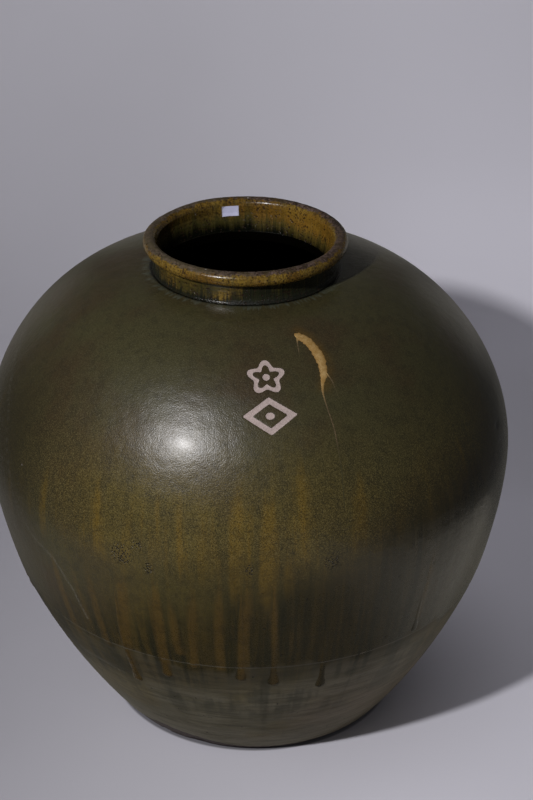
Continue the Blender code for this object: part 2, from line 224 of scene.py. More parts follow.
def bezier(start, start_slope, end, end_slope, handles, samples=240):
    """(1-t)^3 A + 3 (1-t)^2 t B + 3 (1-t) t^2 C + t^3 D, with B and C set off from the ends along
    their slopes by a share of the chord."""
    a, d = np.array(start), np.array(end)
    chord = np.linalg.norm(d - a)
    b = a + handles[0] * chord * np.array([math.cos(start_slope), math.sin(start_slope)])
    c = d - handles[1] * chord * np.array([math.cos(end_slope), math.sin(end_slope)])
    t = np.linspace(0.0, 1.0, samples)[:, None]
    s = 1.0 - t
    return s**3 * a + 3 * s * s * t * b + 3 * s * t * t * c + t**3 * d


class Profile:
    """The jar's outer form as (radius, height) points, with its outward slope at each height."""

    TAPER, SWELL, DOME = (0.33, 0.33), (0.30, 0.30), (0.349, 0.384)

    def __init__(self, form):
        foot = (form.foot_radius, 0.0)
        seam = (form.seam_radius, form.seam_height)
        belly = (form.belly_radius, form.belly_height)
        neck = (form.neck_base_radius, form.neck_base_height)
        taper = bezier(foot, form.foot_slope, seam, form.seam_slope_below, self.TAPER)
        swell = bezier(seam, form.seam_slope_above, belly, math.pi / 2, self.SWELL)
        dome = bezier(belly, math.pi / 2, neck, math.pi, self.DOME)
        self.points = np.vstack([taper, swell[1:], dome[1:]])
        self.radii, self.heights = self.points.T
        along = np.gradient(self.points, axis=0)
        along /= np.linalg.norm(along, axis=1)[:, None]
        self.normals = np.stack([along[:, 1], -along[:, 0]], axis=1)
        wall = form.wall_at_foot + (form.wall_at_neck - form.wall_at_foot) * self.heights / neck[1]
        self.inner = self.points - self.normals * wall[:, None]
        self.run = np.concatenate([[0.0], np.cumsum(np.linalg.norm(np.diff(self.points, axis=0), axis=1))])

    def radius(self, height):
        """Outer radius at a height."""
        return np.interp(height, self.heights, self.radii)

    def inner_radius(self, height):
        """Inner radius at a height."""
        return np.interp(height, self.inner[:, 1], self.inner[:, 0])

    def length_at(self, height):
        """Length of the outer form from the floor up to a height."""
        return np.interp(height, self.heights, self.run)

    def height_at(self, run):
        """Height at a length along the outer form."""
        return np.interp(run, self.run, self.heights)

    def normal(self, height):
        """Outward normal (radius, height) at a height."""
        return tuple(np.interp(height, self.heights, part) for part in self.normals.T)


def place(form, radius, angle, height):
    """Points at a radius and an angle from the front towards +X, leaning with the jar:
    x = r sin(a) - lean z, y = -r cos(a), z."""
    turn = np.radians(angle)
    radius, turn, height = np.broadcast_arrays(radius, turn, height)
    return np.stack([radius * np.sin(turn) - form.lean * height, -radius * np.cos(turn), height], axis=-1)


# What the potter and the kiln left on the wall

# Ochre streaks on the belly: angle at the top, angle at the foot, top height, foot height, half width
# in degrees and strength
STREAKS = np.array(
    [
        (-32.5, -30.9, 0.392, 0.290, 1.3, 0.75),
        (-25.0, -24.0, 0.375, 0.285, 1.6, 0.50),
        (-18.3, -17.3, 0.392, 0.300, 1.3, 0.60),
        (-13.9, -13.2, 0.388, 0.290, 1.2, 0.55),
        (-8.4, -8.2, 0.382, 0.285, 1.7, 0.60),
        (-1.7, -2.1, 0.402, 0.262, 1.9, 0.85),
        (4.6, 3.8, 0.394, 0.268, 1.35, 1.25),
        (8.3, 8.0, 0.336, 0.262, 0.9, 0.95),
        (12.3, 11.4, 0.428, 0.300, 1.8, 0.62),
        (24.4, 22.8, 0.398, 0.318, 1.5, 1.10),
        (32.9, 32.0, 0.372, 0.300, 1.3, 0.62),
        (28.6, 27.6, 0.352, 0.300, 1.0, 0.40),
        (41.0, 40.0, 0.380, 0.300, 1.6, 0.35),
    ]
)

# Rust runs on the taper: angle at the top, angle at the end, top height, end height, half width in
# degrees, strength, and height of its relief as a share of a full run's
RUNS = np.array(
    [
        (-39.9, -38.8, 0.290, 0.194, 1.0, 0.60, 0.5),
        (-35.6, -34.8, 0.295, 0.167, 1.2, 0.80, 0.6),
        (-26.4, -30.0, 0.290, 0.122, 1.3, 1.00, 0.0),
        (-19.2, -20.1, 0.290, 0.147, 1.3, 1.05, 0.0),
        (-16.4, -15.3, 0.280, 0.186, 1.2, 0.80, 0.6),
        (-16.9, -17.4, 0.150, 0.121, 1.5, 0.25, 0.7),
        (-11.2, -12.6, 0.290, 0.172, 1.2, 0.85, 0.0),
        (-5.7, -6.5, 0.300, 0.169, 1.1, 0.80, 0.6),
        (0.3, -1.9, 0.300, 0.156, 1.4, 0.85, 0.0),
        (5.3, 5.6, 0.300, 0.146, 1.0, 0.60, 0.0),
        (9.2, 9.6, 0.270, 0.190, 0.9, 0.45, 0.4),
        (14.4, 17.3, 0.250, 0.134, 1.1, 0.40, 0.0),
        (22.8, 23.6, 0.280, 0.196, 1.0, 0.35, 0.4),
    ]
)

# Pitted clusters: angle, height, spread in degrees, spread in height
PITS = np.array(
    [
        (-26.1, 0.309, 2.6, 0.012),
        (-22.4, 0.323, 1.0, 0.006),
        (-20.2, 0.300, 0.9, 0.007),
        (0.6, 0.309, 0.8, 0.008),
        (17.1, 0.312, 1.5, 0.008),
        (128.0, 0.330, 2.5, 0.012),
        (205.0, 0.300, 2.0, 0.010),
    ]
)

# Chips and pocks: angle, height, radius, paleness (negative is dark)
CHIPS = np.array(
    [
        (-55.5, 0.3533, 0.0022, 1.0),
        (-53.4, 0.3734, 0.0012, 0.8),
        (62.5, 0.4501, 0.0017, 0.9),
        (58.9, 0.4559, 0.0010, 0.7),
        (72.1, 0.3636, 0.0048, -1.0),
        (32.7, 0.2734, 0.0015, -1.0),
        (42.4, 0.2718, 0.0013, -0.9),
        (49.4, 0.2900, 0.0014, -1.0),
        (32.1, 0.1917, 0.0014, -1.0),
        (23.2, 0.2135, 0.0012, -0.9),
        (-44.0, 0.4180, 0.0011, 0.6),
        (150.0, 0.4050, 0.0018, 0.8),
        (-140.0, 0.2450, 0.0020, -0.9),
    ]
)

# Fine pale scars and ridges, each a line of (angle, height) points
SCARS = (
    np.array(
        [
            (-93.5, 0.4415),
            (-83.7, 0.4294),
            (-74.0, 0.4080),
            (-66.9, 0.3814),
            (-61.5, 0.3400),
            (-58.7, 0.3145),
            (-53.0, 0.2813),
            (-45.3, 0.2671),
            (-41.3, 0.2382),
            (-39.0, 0.2014),
        ]
    ),
    np.array([(-60.0, 0.1300), (-48.0, 0.1280), (-40.4, 0.1299), (-34.5, 0.1253)]),
    np.array([(26.8, 0.1390), (34.0, 0.1345), (41.8, 0.1295)]),
)

# Where the splash has stained the glaze beside it
STAIN = np.array(
    [(20.6, 0.4968), (22.7, 0.4935), (24.3, 0.4880), (24.9, 0.4805), (24.3, 0.4735), (22.0, 0.4640)]
)

EXTRA_SEED = 11
# Degrees from the front within which the seeded rows leave the tables alone
STREAK_FREE = 44.0


def side_streaks(seed, count, top, foot, half_width, strength, columns):
    """Seeded rows like those of a table above, for the sides and back that the front table leaves free."""
    rng = np.random.default_rng(seed)
    angles = np.linspace(STREAK_FREE, 360.0 - STREAK_FREE, count) + rng.uniform(-3.5, 3.5, count)
    rows = [
        angles,
        angles + rng.uniform(-1.6, 1.6, count),
        rng.uniform(*top, count),
        rng.uniform(*foot, count),
        rng.uniform(*half_width, count),
        rng.uniform(*strength, count),
        rng.uniform(0.3, 0.7, count),
    ]
    return np.stack(rows[:columns], axis=1)


SIDE_STREAKS = side_streaks(EXTRA_SEED, 30, (0.35, 0.42), (0.27, 0.32), (0.9, 1.9), (0.3, 1.0), 6)
SIDE_RUNS = side_streaks(EXTRA_SEED + 1, 34, (0.26, 0.31), (0.15, 0.21), (0.8, 1.3), (0.3, 0.95), 7)
ALL_STREAKS = np.vstack([STREAKS, SIDE_STREAKS])
ALL_RUNS = np.vstack([RUNS, SIDE_RUNS])

# The thick runs with drops, which are pieces of their own: angle at the top, angle at the end, top and
# end height, size and how rusty it is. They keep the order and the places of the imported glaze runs
THICK_RUNS = np.array(
    [
        (-28.8, -30.2, 0.2675, 0.1205, 1.00, 1.0),
        (-19.6, -20.3, 0.2488, 0.1455, 0.95, 1.0),
        (-12.0, -12.9, 0.2612, 0.1705, 0.80, 0.9),
        (-1.2, -2.1, 0.2861, 0.1550, 1.00, 0.9),
        (5.4, 5.6, 0.3017, 0.1460, 1.05, 0.8),
        (16.4, 17.5, 0.2488, 0.1335, 0.95, 0.3),
        (40.6, 41.2, 0.2426, 0.1800, 0.80, 0.1),
        (73.6, 74.3, 0.2612, 0.1365, 1.05, 0.5),
        (107.6, 108.3, 0.2737, 0.1272, 1.00, 0.9),
        (140.7, 141.2, 0.2488, 0.1738, 0.80, 1.0),
        (173.7, 174.2, 0.2799, 0.1428, 1.05, 0.9),
        (211.7, 212.2, 0.2426, 0.1583, 0.90, 1.0),
        (250.7, 251.3, 0.2799, 0.1303, 1.00, 0.8),
        (289.7, 290.2, 0.2550, 0.1614, 0.85, 0.9),
    ]
)

# The cut ornament: angle and height of its middle, and in mm how far its blossom lies above the middle
# and its lozenge below, the blossom's radius, the lozenge's half width and half height, and half the
# width of a stroke
MOTIF_ANGLE, MOTIF_HEIGHT = 6.3, 0.4618
BLOSSOM_RISE, LOZENGE_DROP = 19.5, -20.5
BLOSSOM_RADIUS, LOZENGE_WIDE, LOZENGE_TALL = 13.2, 22.0, 15.5
HALF_STROKE = 2.9

# Depths of the wall's relief in metres: how far it lies under its outer form on the whole, how much
# less of that is left at the foot, its slow unevenness, its throwing rings at the shoulder and what
# they gain low down, the broad rings, and the fine vertical ripple
SUNK, FOOT_LIFT, UNEVEN = 0.00062, 0.00038, 0.00026
RINGS_HIGH, RINGS_LOW, BROAD_RINGS, RIPPLE = 0.00004, 0.00013, 0.00004, 0.00007
# Slow dents under the neck: depth, angle, width in degrees, height, reach up and down
DENTS = ((0.00078, -14.0, 26.0, 0.4460, 0.021), (0.00065, -32.0, 14.0, 0.443, 0.040))
# The step at the glaze line, a full run, the seam's lip all round and what the front adds to it, the
# bare foot, the cut ornament, pocks and chips, and the least depth anywhere
GLAZE_STEP, RUN_LIFT, LIP, FRONT_LIP = 0.00022, 0.00060, 0.00035, 0.00040
BARE_DEPTH, CUT_DEPTH, POCK_DEPTH, CHIP_DEPTH, LEAST_DEPTH = 0.00060, 0.00042, 0.0007, 0.0003, 0.00012


def streak_field(angle, height, table, soft_end, spread_out):
    """How strongly streaks colour a place: for each, a bell across it, as wide as spread_out times its
    half width, times soft steps at its ends, and the greatest of all."""
    total = np.zeros(np.broadcast(angle, height).shape)
    for row in table:
        turn_top, turn_foot, top, foot, half_width, strength = row[:6]
        down = np.clip((top - height) / (top - foot), 0.0, 1.0)
        centre = turn_top + (turn_foot - turn_top) * down
        across = bump(turn_apart(angle, centre), 0.0, half_width * spread_out)
        ends = soft_step(height, foot - soft_end[0], foot + soft_end[1]) * (
            1.0 - soft_step(height, top - soft_end[2], top + soft_end[2] * 0.4)
        )
        total = np.maximum(total, strength * across * ends)
    return total


def motif_field(profile, angle, height):
    """Signed reach into the ornament's strokes in mm, above 0 inside: a five-petalled blossom, whose
    outline is R (1 + k cos 5a) with a dot in it, over a lozenge |u|/a + |v|/b = 1 with a dot in it."""
    u = np.radians(turn_apart(angle, MOTIF_ANGLE)) * profile.radius(height) / MM
    v = (profile.length_at(height) - profile.length_at(MOTIF_HEIGHT)) / MM
    du, dv = u + 0.5, v - BLOSSOM_RISE
    far, turn = np.hypot(du, dv), np.arctan2(du, dv)
    petals = HALF_STROKE - np.abs(far - BLOSSOM_RADIUS * (1.0 + 0.23 * np.cos(5.0 * turn)))
    heart = 3.7 - far
    du, dv = u + 0.3, v - LOZENGE_DROP
    edge = 1.0 / math.hypot(1.0 / LOZENGE_WIDE, 1.0 / LOZENGE_TALL)
    lozenge = HALF_STROKE - np.abs(np.abs(du) / LOZENGE_WIDE + np.abs(dv) / LOZENGE_TALL - 1.0) * edge
    dot = 3.6 - np.hypot(du * 0.8, dv)
    return np.maximum(np.maximum(petals, heart), np.maximum(lozenge, dot))


def line_field(profile, angle, height, lines, width):
    """A bell of the distance, in metres on the wall, to the nearest of some broken lines."""
    total = np.zeros(np.broadcast(angle, height).shape)
    for line in lines:
        for (a0, z0), (a1, z1) in zip(line[:-1], line[1:]):
            scale = math.radians(1.0) * profile.radius((z0 + z1) / 2)
            px, py = turn_apart(angle, a0) * scale, profile.length_at(height) - profile.length_at(z0)
            dx, dy = turn_apart(a1, a0) * scale, profile.length_at(z1) - profile.length_at(z0)
            t = np.clip((px * dx + py * dy) / (dx * dx + dy * dy), 0.0, 1.0)
            total = np.maximum(total, bump(np.hypot(px - t * dx, py - t * dy), 0.0, width))
    return total


def chip_field(profile, angle, height):
    """Chips above 0 and dark pocks below 0: a bell of the distance to each, in metres on the wall."""
    total = np.zeros(np.broadcast(angle, height).shape)
    for a0, z0, size, pale in CHIPS:
        across = np.radians(turn_apart(angle, a0)) * profile.radius(z0)
        up = profile.length_at(height) - profile.length_at(z0)
        total = total + pale * bump(np.hypot(across, up), 0.0, size)
    return total


def pit_field(angle, height):
    """Where the glaze is pitted: the sum of oval bells."""
    total = np.zeros(np.broadcast(angle, height).shape)
    for a0, z0, wide, tall in PITS:
        total = total + bump(turn_apart(angle, a0), 0.0, wide) * bump(height, z0, tall)
    return np.minimum(total, 1.0)


def glaze_edge(angle):
    """Height of the ragged line where the thick glaze ends between its runs."""
    slow, ragged = waves(angle, 0.0, 5, 5, (3, 13), 1.0), waves(angle, 0.0, 6, 5, (20, 60), 1.0)
    return 0.171 + 0.014 * slow + 0.006 * ragged


def bare_edge(angle):
    """Height up to which the foot is bare clay: a low ragged line, higher on the left of the front."""
    side = bump(turn_apart(angle, -33.0), 0.0, 20.0) + 0.6 * bump(turn_apart(angle, 128.0), 0.0, 22.0)
    ragged = 0.0012 * waves(angle, 0.0, 8, 6, (9, 30), 1.0) + 0.0006 * waves(angle, 0.0, 9, 6, (40, 90), 1.0)
    return 0.0050 + 0.0170 * side + ragged * (1.0 + side)


def relief(form, profile, angle, height):
    """How far the glazed wall stands off its outer form, along its normal, in metres, and never above
    it: throwing rings and slow dents, the thin runs' relief, the overhanging lip of the lower seam, the
    glaze line's step, the cut ornament and the pocks."""
    low = 1.0 - soft_step(height, 0.14, 0.20)
    rings = RINGS_HIGH + RINGS_LOW * low
    out = -SUNK + FOOT_LIFT * (1.0 - soft_step(height, 0.12, 0.28))
    out = out + UNEVEN * waves(angle, height, 1, 6, (2, 5), 0.35)
    for depth, turn, wide, at, tall in DENTS:
        out = out - depth * bump(turn_apart(angle, turn), 0.0, wide) * bump(height, at, tall)
    out = out + rings * waves(angle, height, 2, 5, (0, 2), 0.010)
    out = out + BROAD_RINGS * waves(angle, height, 3, 5, (0, 3), 0.026)
    out = out + RIPPLE * waves(angle, height, 4, 14, (40, 100), 0.020)
    edge = glaze_edge(angle)
    out = out + GLAZE_STEP * soft_step(height, edge - 0.004, edge + 0.010)
    for turn_top, turn_end, top, end, half_width, _, share_lifted in ALL_RUNS[ALL_RUNS[:, 6] > 0]:
        down = np.clip((top - height) / (top - end), 0.0, 1.0)
        centre = turn_top + (turn_end - turn_top) * down
        lift = bump(turn_apart(angle, centre), 0.0, half_width * 0.9)
        swell = 0.5 + 0.9 * bump(height, end + 0.006, 0.009)
        ends = soft_step(height, end - 0.002, end + 0.0025) * soft_step(-height, -top, -top + 0.06)
        out = out + RUN_LIFT * share_lifted * lift * ends * swell
    over = np.clip((height - form.seam_height) / 0.0009, 0.0, 1.0)
    lip = np.where(
        height >= form.seam_height - 1e-7,
        1.0 - np.sqrt(np.clip(1.0 - (1.0 - over) ** 2, 0.0, 1.0)),
        1.0 - soft_step(form.seam_height - height, 0.0, 0.010),
    )
    out = out - (LIP + FRONT_LIP * bump(turn_apart(angle, 0.0), 0.0, 60.0)) * lip
    out = out - BARE_DEPTH * (1.0 - soft_step(height - bare_edge(angle), -0.0008, 0.0006))
    out = out - CUT_DEPTH * soft_step(motif_field(profile, angle, height), -0.5, 1.1)
    chips = chip_field(profile, angle, height)
    out = out - POCK_DEPTH * soft_step(-chips, 0.2, 0.9) - CHIP_DEPTH * soft_step(chips, 0.3, 0.9)
    return np.minimum(out, -LEAST_DEPTH)


def wall_point(form, profile, angle, height, lift=0.0):
    """A point on the glazed wall, raised by lift along the normal."""
    out = relief(form, profile, angle, height) + lift
    normal_r, normal_z = profile.normal(height)
    return place(form, profile.radius(height) + out * normal_r, angle, height + out * normal_z)


def glaze_fields(profile, angle, height):
    """What the wall's glaze needs to know at each point, by the name of the mesh attribute."""
    edge = glaze_edge(angle)
    return {
        "streak": streak_field(angle, height, ALL_STREAKS, (0.03, 0.03, 0.045), 1.35),
        "run": streak_field(angle, height, ALL_RUNS, (0.001, 0.005, 0.050), 1.3),
        "wash": 1.0 - soft_step(height, edge - 0.006, edge + 0.016),
        "cut": np.clip(motif_field(profile, angle, height) / 4.0 + 0.5, 0.0, 1.0),
        "scar": line_field(profile, angle, height, SCARS, 0.0012),
        "stain": line_field(profile, angle, height, [STAIN], 0.0065),
        "chip": chip_field(profile, angle, height),
        "pit": pit_field(angle, height),
        "bare": np.clip((bare_edge(angle) - height) / 0.004, -1.0, 1.0),
    }


# Meshes

WALL_COLUMNS, NECK_COLUMNS = 512, 480
NO_TRIANGLES = np.empty((0, 3), int)
# Points across the upper side of a band of glaze, its two edges among them, and across its underside
BAND_OVER, BAND_UNDER = 13, 5
# Station spacing at a joint and its growth away from it
JOINT_SPACING = (0.00014, 0.10)
# Depth and pitch of the throwing rings inside
INNER_RINGS = (0.0004, 0.013)


def signed_volume(points, faces):
    """Six times the volume between the faces and the origin, each face split into triangles from its
    first corner: the sum of a . (b x c). Faces that are wound inwards make it negative."""
    total = 0.0
    for last in range(2, faces.shape[1]):
        a, b, c = (points[faces[:, corner]] for corner in (0, last - 1, last))
        total += np.einsum("ij,ij->i", a, np.cross(b, c)).sum()
    return total


def make_piece(name, points, quads, triangles, fields, material, slot, replaced, sharp=35.0):
    """A closed mesh piece from arrays of points, four-cornered and three-cornered faces and point
    fields. It rides on the jar, stands for the replaced nodes and takes the given material. The slot
    is not used. Edges sharper than `sharp` degrees stay sharp."""
    if signed_volume(points, quads) + signed_volume(points, triangles) < 0.0:
        quads, triangles = quads[:, ::-1], triangles[:, ::-1]
    mesh = bpy.data.meshes.new(name)
    mesh.vertices.add(len(points))
    mesh.vertices.foreach_set("co", points.astype(np.float32).ravel())
    corners = np.concatenate([quads.ravel(), triangles.ravel()]).astype(np.int32)
    mesh.loops.add(len(corners))
    mesh.loops.foreach_set("vertex_index", corners)
    starts = np.concatenate([np.arange(len(quads)) * 4, len(quads) * 4 + np.arange(len(triangles)) * 3])
    mesh.polygons.add(len(starts))
    mesh.polygons.foreach_set("loop_start", starts.astype(np.int32))
    mesh.update(calc_edges=True)
    mesh.validate()
    mesh.shade_smooth()
    mesh.set_sharp_from_angle(angle=math.radians(sharp))
    for key, values in fields.items():
        made = mesh.attributes.new(key, "FLOAT", "POINT")
        made.data.foreach_set("value", np.asarray(values, dtype=np.float32).ravel())
    mesh.materials.append(material)
    piece = bpy.data.objects.new(name, mesh)
    bpy.context.scene.collection.objects.link(piece)
    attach(piece, BODY)
    if replaced:
        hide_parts(*replaced)
    return piece


def grid_faces(rows, columns, close_rows, close_columns=True):
    """Four-cornered faces of a grid of rows x columns points, joined end to end where asked."""
    i = np.arange(rows if close_rows else rows - 1)[:, None]
    j = np.arange(columns if close_columns else columns - 1)[None, :]
    near, far = i * columns, ((i + 1) % rows) * columns
    side = (j + 1) % columns
    return np.stack(np.broadcast_arrays(near + j, near + side, far + side, far + j), axis=-1).reshape(-1, 4)


def fan(ring, pole):
    """Three-cornered faces from a closed ring of points to a pole."""
    return np.stack([ring, np.roll(ring, -1), np.full(len(ring), pole)], axis=1)


def with_poles(grid, fields, first, last):
    """Points, faces and fields of a grid whose first and last rows close on a pole each."""
    rows, columns = grid.shape[:2]
    count = rows * columns
    points = np.vstack([grid.reshape(-1, 3), first, last])
    low = fan(np.arange(columns), count)[:, ::-1]
    high = fan(np.arange(count - columns, count), count + 1)
    padded = {}
    for key, values in fields.items():
        flat = np.asarray(values).reshape(-1)
        padded[key] = np.concatenate([flat, [flat[:columns].mean(), flat[-columns:].mean()]])
    return points, grid_faces(rows, columns, False), np.vstack([low, high]), padded


def joint_face(outer_radius, inner_radius, face_height, depth, side_gap):
    """A joint's face from outside to inside: a land, the tapered tongue or groove, a land."""
    middle, wall = (outer_radius + inner_radius) / 2, outer_radius - inner_radius
    root, tip = wall * 0.22 + side_gap, wall * 0.13 + side_gap
    return np.array(
        [
            (middle + root, face_height),
            (middle + tip, face_height - depth),
            (middle - tip, face_height - depth),
            (middle - root, face_height),
        ]
    )


def groove(form, radii, height, depth=None):
    """The face under a joint, from outside to inside, half a slip gap below the joint's height."""
    gap = form.slip_gap
    return joint_face(*radii, height - gap / 2, depth or form.tongue_height, gap)


def tongue(form, radii, height, depth=None):
    """The face over a joint, from inside to outside, half a slip gap above the joint's height."""
    return joint_face(*radii, height + form.slip_gap / 2, depth or form.tongue_height, 0.0)[::-1]


def wall_turns():
    """Angles of the columns round the wall, three times as close over the front as round the back."""
    fine = np.linspace(-180.0, 180.0, 7201)
    near = soft_step(-np.abs(fine), -62.0, -40.0)
    count = np.concatenate([[0.0], np.cumsum(1.0 + 2.4 * near[:-1])])
    return np.interp(np.linspace(0.0, count[-1], WALL_COLUMNS + 1)[:-1], count, fine)[None, :]


def neck_turns():
    """Angles of the columns round the neck."""
    return np.linspace(-180.0, 180.0, NECK_COLUMNS, endpoint=False)[None, :]


def wall_fields(profile, turns, heights, hidden_rows):
    """The glaze's fields for rows on the outside at some heights, and zeros for the hidden rows that
    follow them, where the field inside is 1."""
    shown, hidden = (len(heights), turns.shape[1]), (hidden_rows, turns.shape[1])
    fields = {
        key: np.concatenate([np.broadcast_to(values, shown), np.zeros(hidden)])
        for key, values in glaze_fields(profile, turns, heights).items()
    }
    fields["inside"] = np.concatenate([np.zeros(shown), np.ones(hidden)])
    return fields


def section(form, profile, outer_heights, rest):
    """Points, faces and fields of a section of the wall: outer stations from its low to its high joint,
    then the rest of its outline as (radius, height) points, all carried round. Only the outer stations
    take the relief."""
    turns, heights = wall_turns(), outer_heights[:, None]
    outer = wall_point(form, profile, turns, heights)
    inside = place(form, rest[:, 0:1], turns, rest[:, 1:2])
    grid = np.concatenate([outer, inside], axis=0)
    fields = wall_fields(profile, turns, heights, len(rest))
    return grid.reshape(-1, 3), grid_faces(*grid.shape[:2], True), NO_TRIANGLES, fields


def inner_stations(profile, low, high, count):
    """Points of the inner form between two heights, from high to low, with faint throwing rings."""
    depth, pitch = INNER_RINGS
    heights = np.linspace(low, high, count)
    rings = depth * np.sin(heights * math.tau / pitch)
    rings[[0, -1]] = 0.0
    return np.stack([profile.inner_radius(heights) - rings, heights], axis=1)[::-1]


def turned_ring(form, outline, lift, crest):
    """Points, faces and fields of a closed outline of (radius, height) points carried round the axis,
    each moved out along the outline's normal by its lift."""
    along = np.roll(outline, -1, axis=0) - np.roll(outline, 1, axis=0)
    along /= np.linalg.norm(along, axis=1)[:, None] + 1e-12
    normal = np.stack([along[:, 1], -along[:, 0]], axis=1)
    radius = outline[:, 0:1] + lift * normal[:, 0:1]
    height = outline[:, 1:2] + lift * normal[:, 1:2]
    grid = place(form, radius, neck_turns(), height)
    fields = {"crest": np.broadcast_to(crest, grid.shape[:2])}
    return grid.reshape(-1, 3), grid_faces(*grid.shape[:2], True), NO_TRIANGLES, fields


def strip(form, profile, path, widths, thicknesses, sink, fields_of):
    """Points, faces and fields of a band of glaze that lies on the wall. Path gives (angle, height)
    rows; across it the band's top is thickness (1 - u^2)^p for u from -1 to 1, and its underside lies
    sunk below the glaze. fields_of gives the fields from the points' angles, heights and u."""
    over = np.cos(np.linspace(math.pi, 0.0, BAND_OVER))
    under = np.cos(np.linspace(0.0, math.pi, BAND_UNDER + 2))[1:-1]
    u = np.concatenate([over, under])
    top = np.arange(len(u)) < BAND_OVER
    run, radius = profile.length_at(path[:, 1]), profile.radius(path[:, 1])
    step = np.stack([np.gradient(np.radians(path[:, 0])) * radius, np.gradient(run)], axis=1)
    step /= np.linalg.norm(step, axis=1)[:, None]
    side = np.stack([-step[:, 1], step[:, 0]], axis=1)
    offset = side[:, None, :] * (widths / 2)[:, None, None] * u[None, :, None]
    angles = path[:, 0:1] + np.degrees(offset[..., 0] / radius[:, None])
    heights = profile.height_at(run[:, None] + offset[..., 1])
    arch = (1.0 - u**2)[None, :] ** 0.72
    lift = np.where(top[None, :], thicknesses[:, None] * arch - sink * (1.0 - arch), -sink * 1.6)
    grid = wall_point(form, profile, angles, heights, lift)
    fields = fields_of(angles, heights, np.broadcast_to(u[None, :], angles.shape))
    return with_poles(grid, fields, grid[0].mean(axis=0), grid[-1].mean(axis=0))


# Materials


class Wire:
    """A number socket. Arithmetic on it adds Math nodes: a sum, a product, a quotient and so on."""

    def __init__(self, nodes, socket):
        self.nodes, self.socket = nodes, socket

    def _math(self, operation, *values, clamp=False):
        """A Math node for an operation on some values, its result kept to 0..1 if it is clamped."""
        settings = {"operation": operation, "use_clamp": clamp}
        node = self.nodes.node("ShaderNodeMath", settings, dict(enumerate(values)))
        return Wire(self.nodes, node.outputs[0])

    def __add__(self, other):
        return self._math("ADD", self, other)

    def __sub__(self, other):
        return self._math("SUBTRACT", self, other)

    def __rsub__(self, other):
        return self._math("SUBTRACT", other, self)

    def __mul__(self, other):
        return self._math("MULTIPLY", self, other)

    def __truediv__(self, other):
        return self._math("DIVIDE", self, other)

    def __rtruediv__(self, other):
        return self._math("DIVIDE", other, self)

    __radd__ = __add__
    __rmul__ = __mul__

    def root(self):
        """Square root."""
        return self._math("SQRT", self)

    def greatest(self, other):
        """The larger of two values."""
        return self._math("MAXIMUM", self, other)

    def held(self):
        """The value kept between 0 and 1."""
        return self._math("ADD", self, 0.0, clamp=True)

    def step(self, low, high, start=0.0, end=1.0):
        """Start before low and end past high, with a smooth step between them, in either direction."""
        if low > high:
            low, high, start, end = high, low, end, start
        settings = {"interpolation_type": "SMOOTHSTEP"}
        values = {"Value": self, "From Min": low, "From Max": high, "To Min": start, "To Max": end}
        return Wire(self.nodes, self.nodes.node("ShaderNodeMapRange", settings, values).outputs["Result"])


class Nodes:
    """A node tree under construction."""

    def __init__(self, tree):
        self.tree = tree
        tree.nodes.clear()

    def put(self, socket, value):
        """A number, colour, Wire or socket into an input."""
        if isinstance(value, Wire):
            value = value.socket
        if isinstance(value, bpy.types.NodeSocket):
            self.tree.links.new(value, socket)
        elif isinstance(value, (int, float)):
            socket.default_value = value
        else:
            value = tuple(value)
            socket.default_value = value + (1.0,) if len(value) == 3 and socket.type == "RGBA" else value

    def node(self, kind, settings, values):
        """Add a node of a kind, with its settings first and then the values or links of its sockets."""
        node = self.tree.nodes.new(kind)
        for key, setting in settings.items():
            setattr(node, key, setting)
        for key, value in values.items():
            self.put(node.inputs[key], value)
        return node

    def mix(self, factor, first, second):
        """First colour at 0 and second at 1."""
        sockets = {0: factor, 6: first, 7: second}
        return self.node("ShaderNodeMix", {"data_type": "RGBA"}, sockets).outputs[2]

    def scaled(self, tint, factor):
        """A colour times a value."""
        sockets = {"Vector": tint, "Scale": factor}
        return self.node("ShaderNodeVectorMath", {"operation": "SCALE"}, sockets).outputs[0]

    def mixed_shader(self, factor, first, second):
        """First shader at 0 and second at 1."""
        return self.node("ShaderNodeMixShader", {}, {0: factor, 1: first, 2: second}).outputs[0]

    def ray(self, kind):
        """1 for rays of a kind, such as Is Camera Ray, and 0 for the rest."""
        return Wire(self, self.node("ShaderNodeLightPath", {}, {}).outputs[kind])


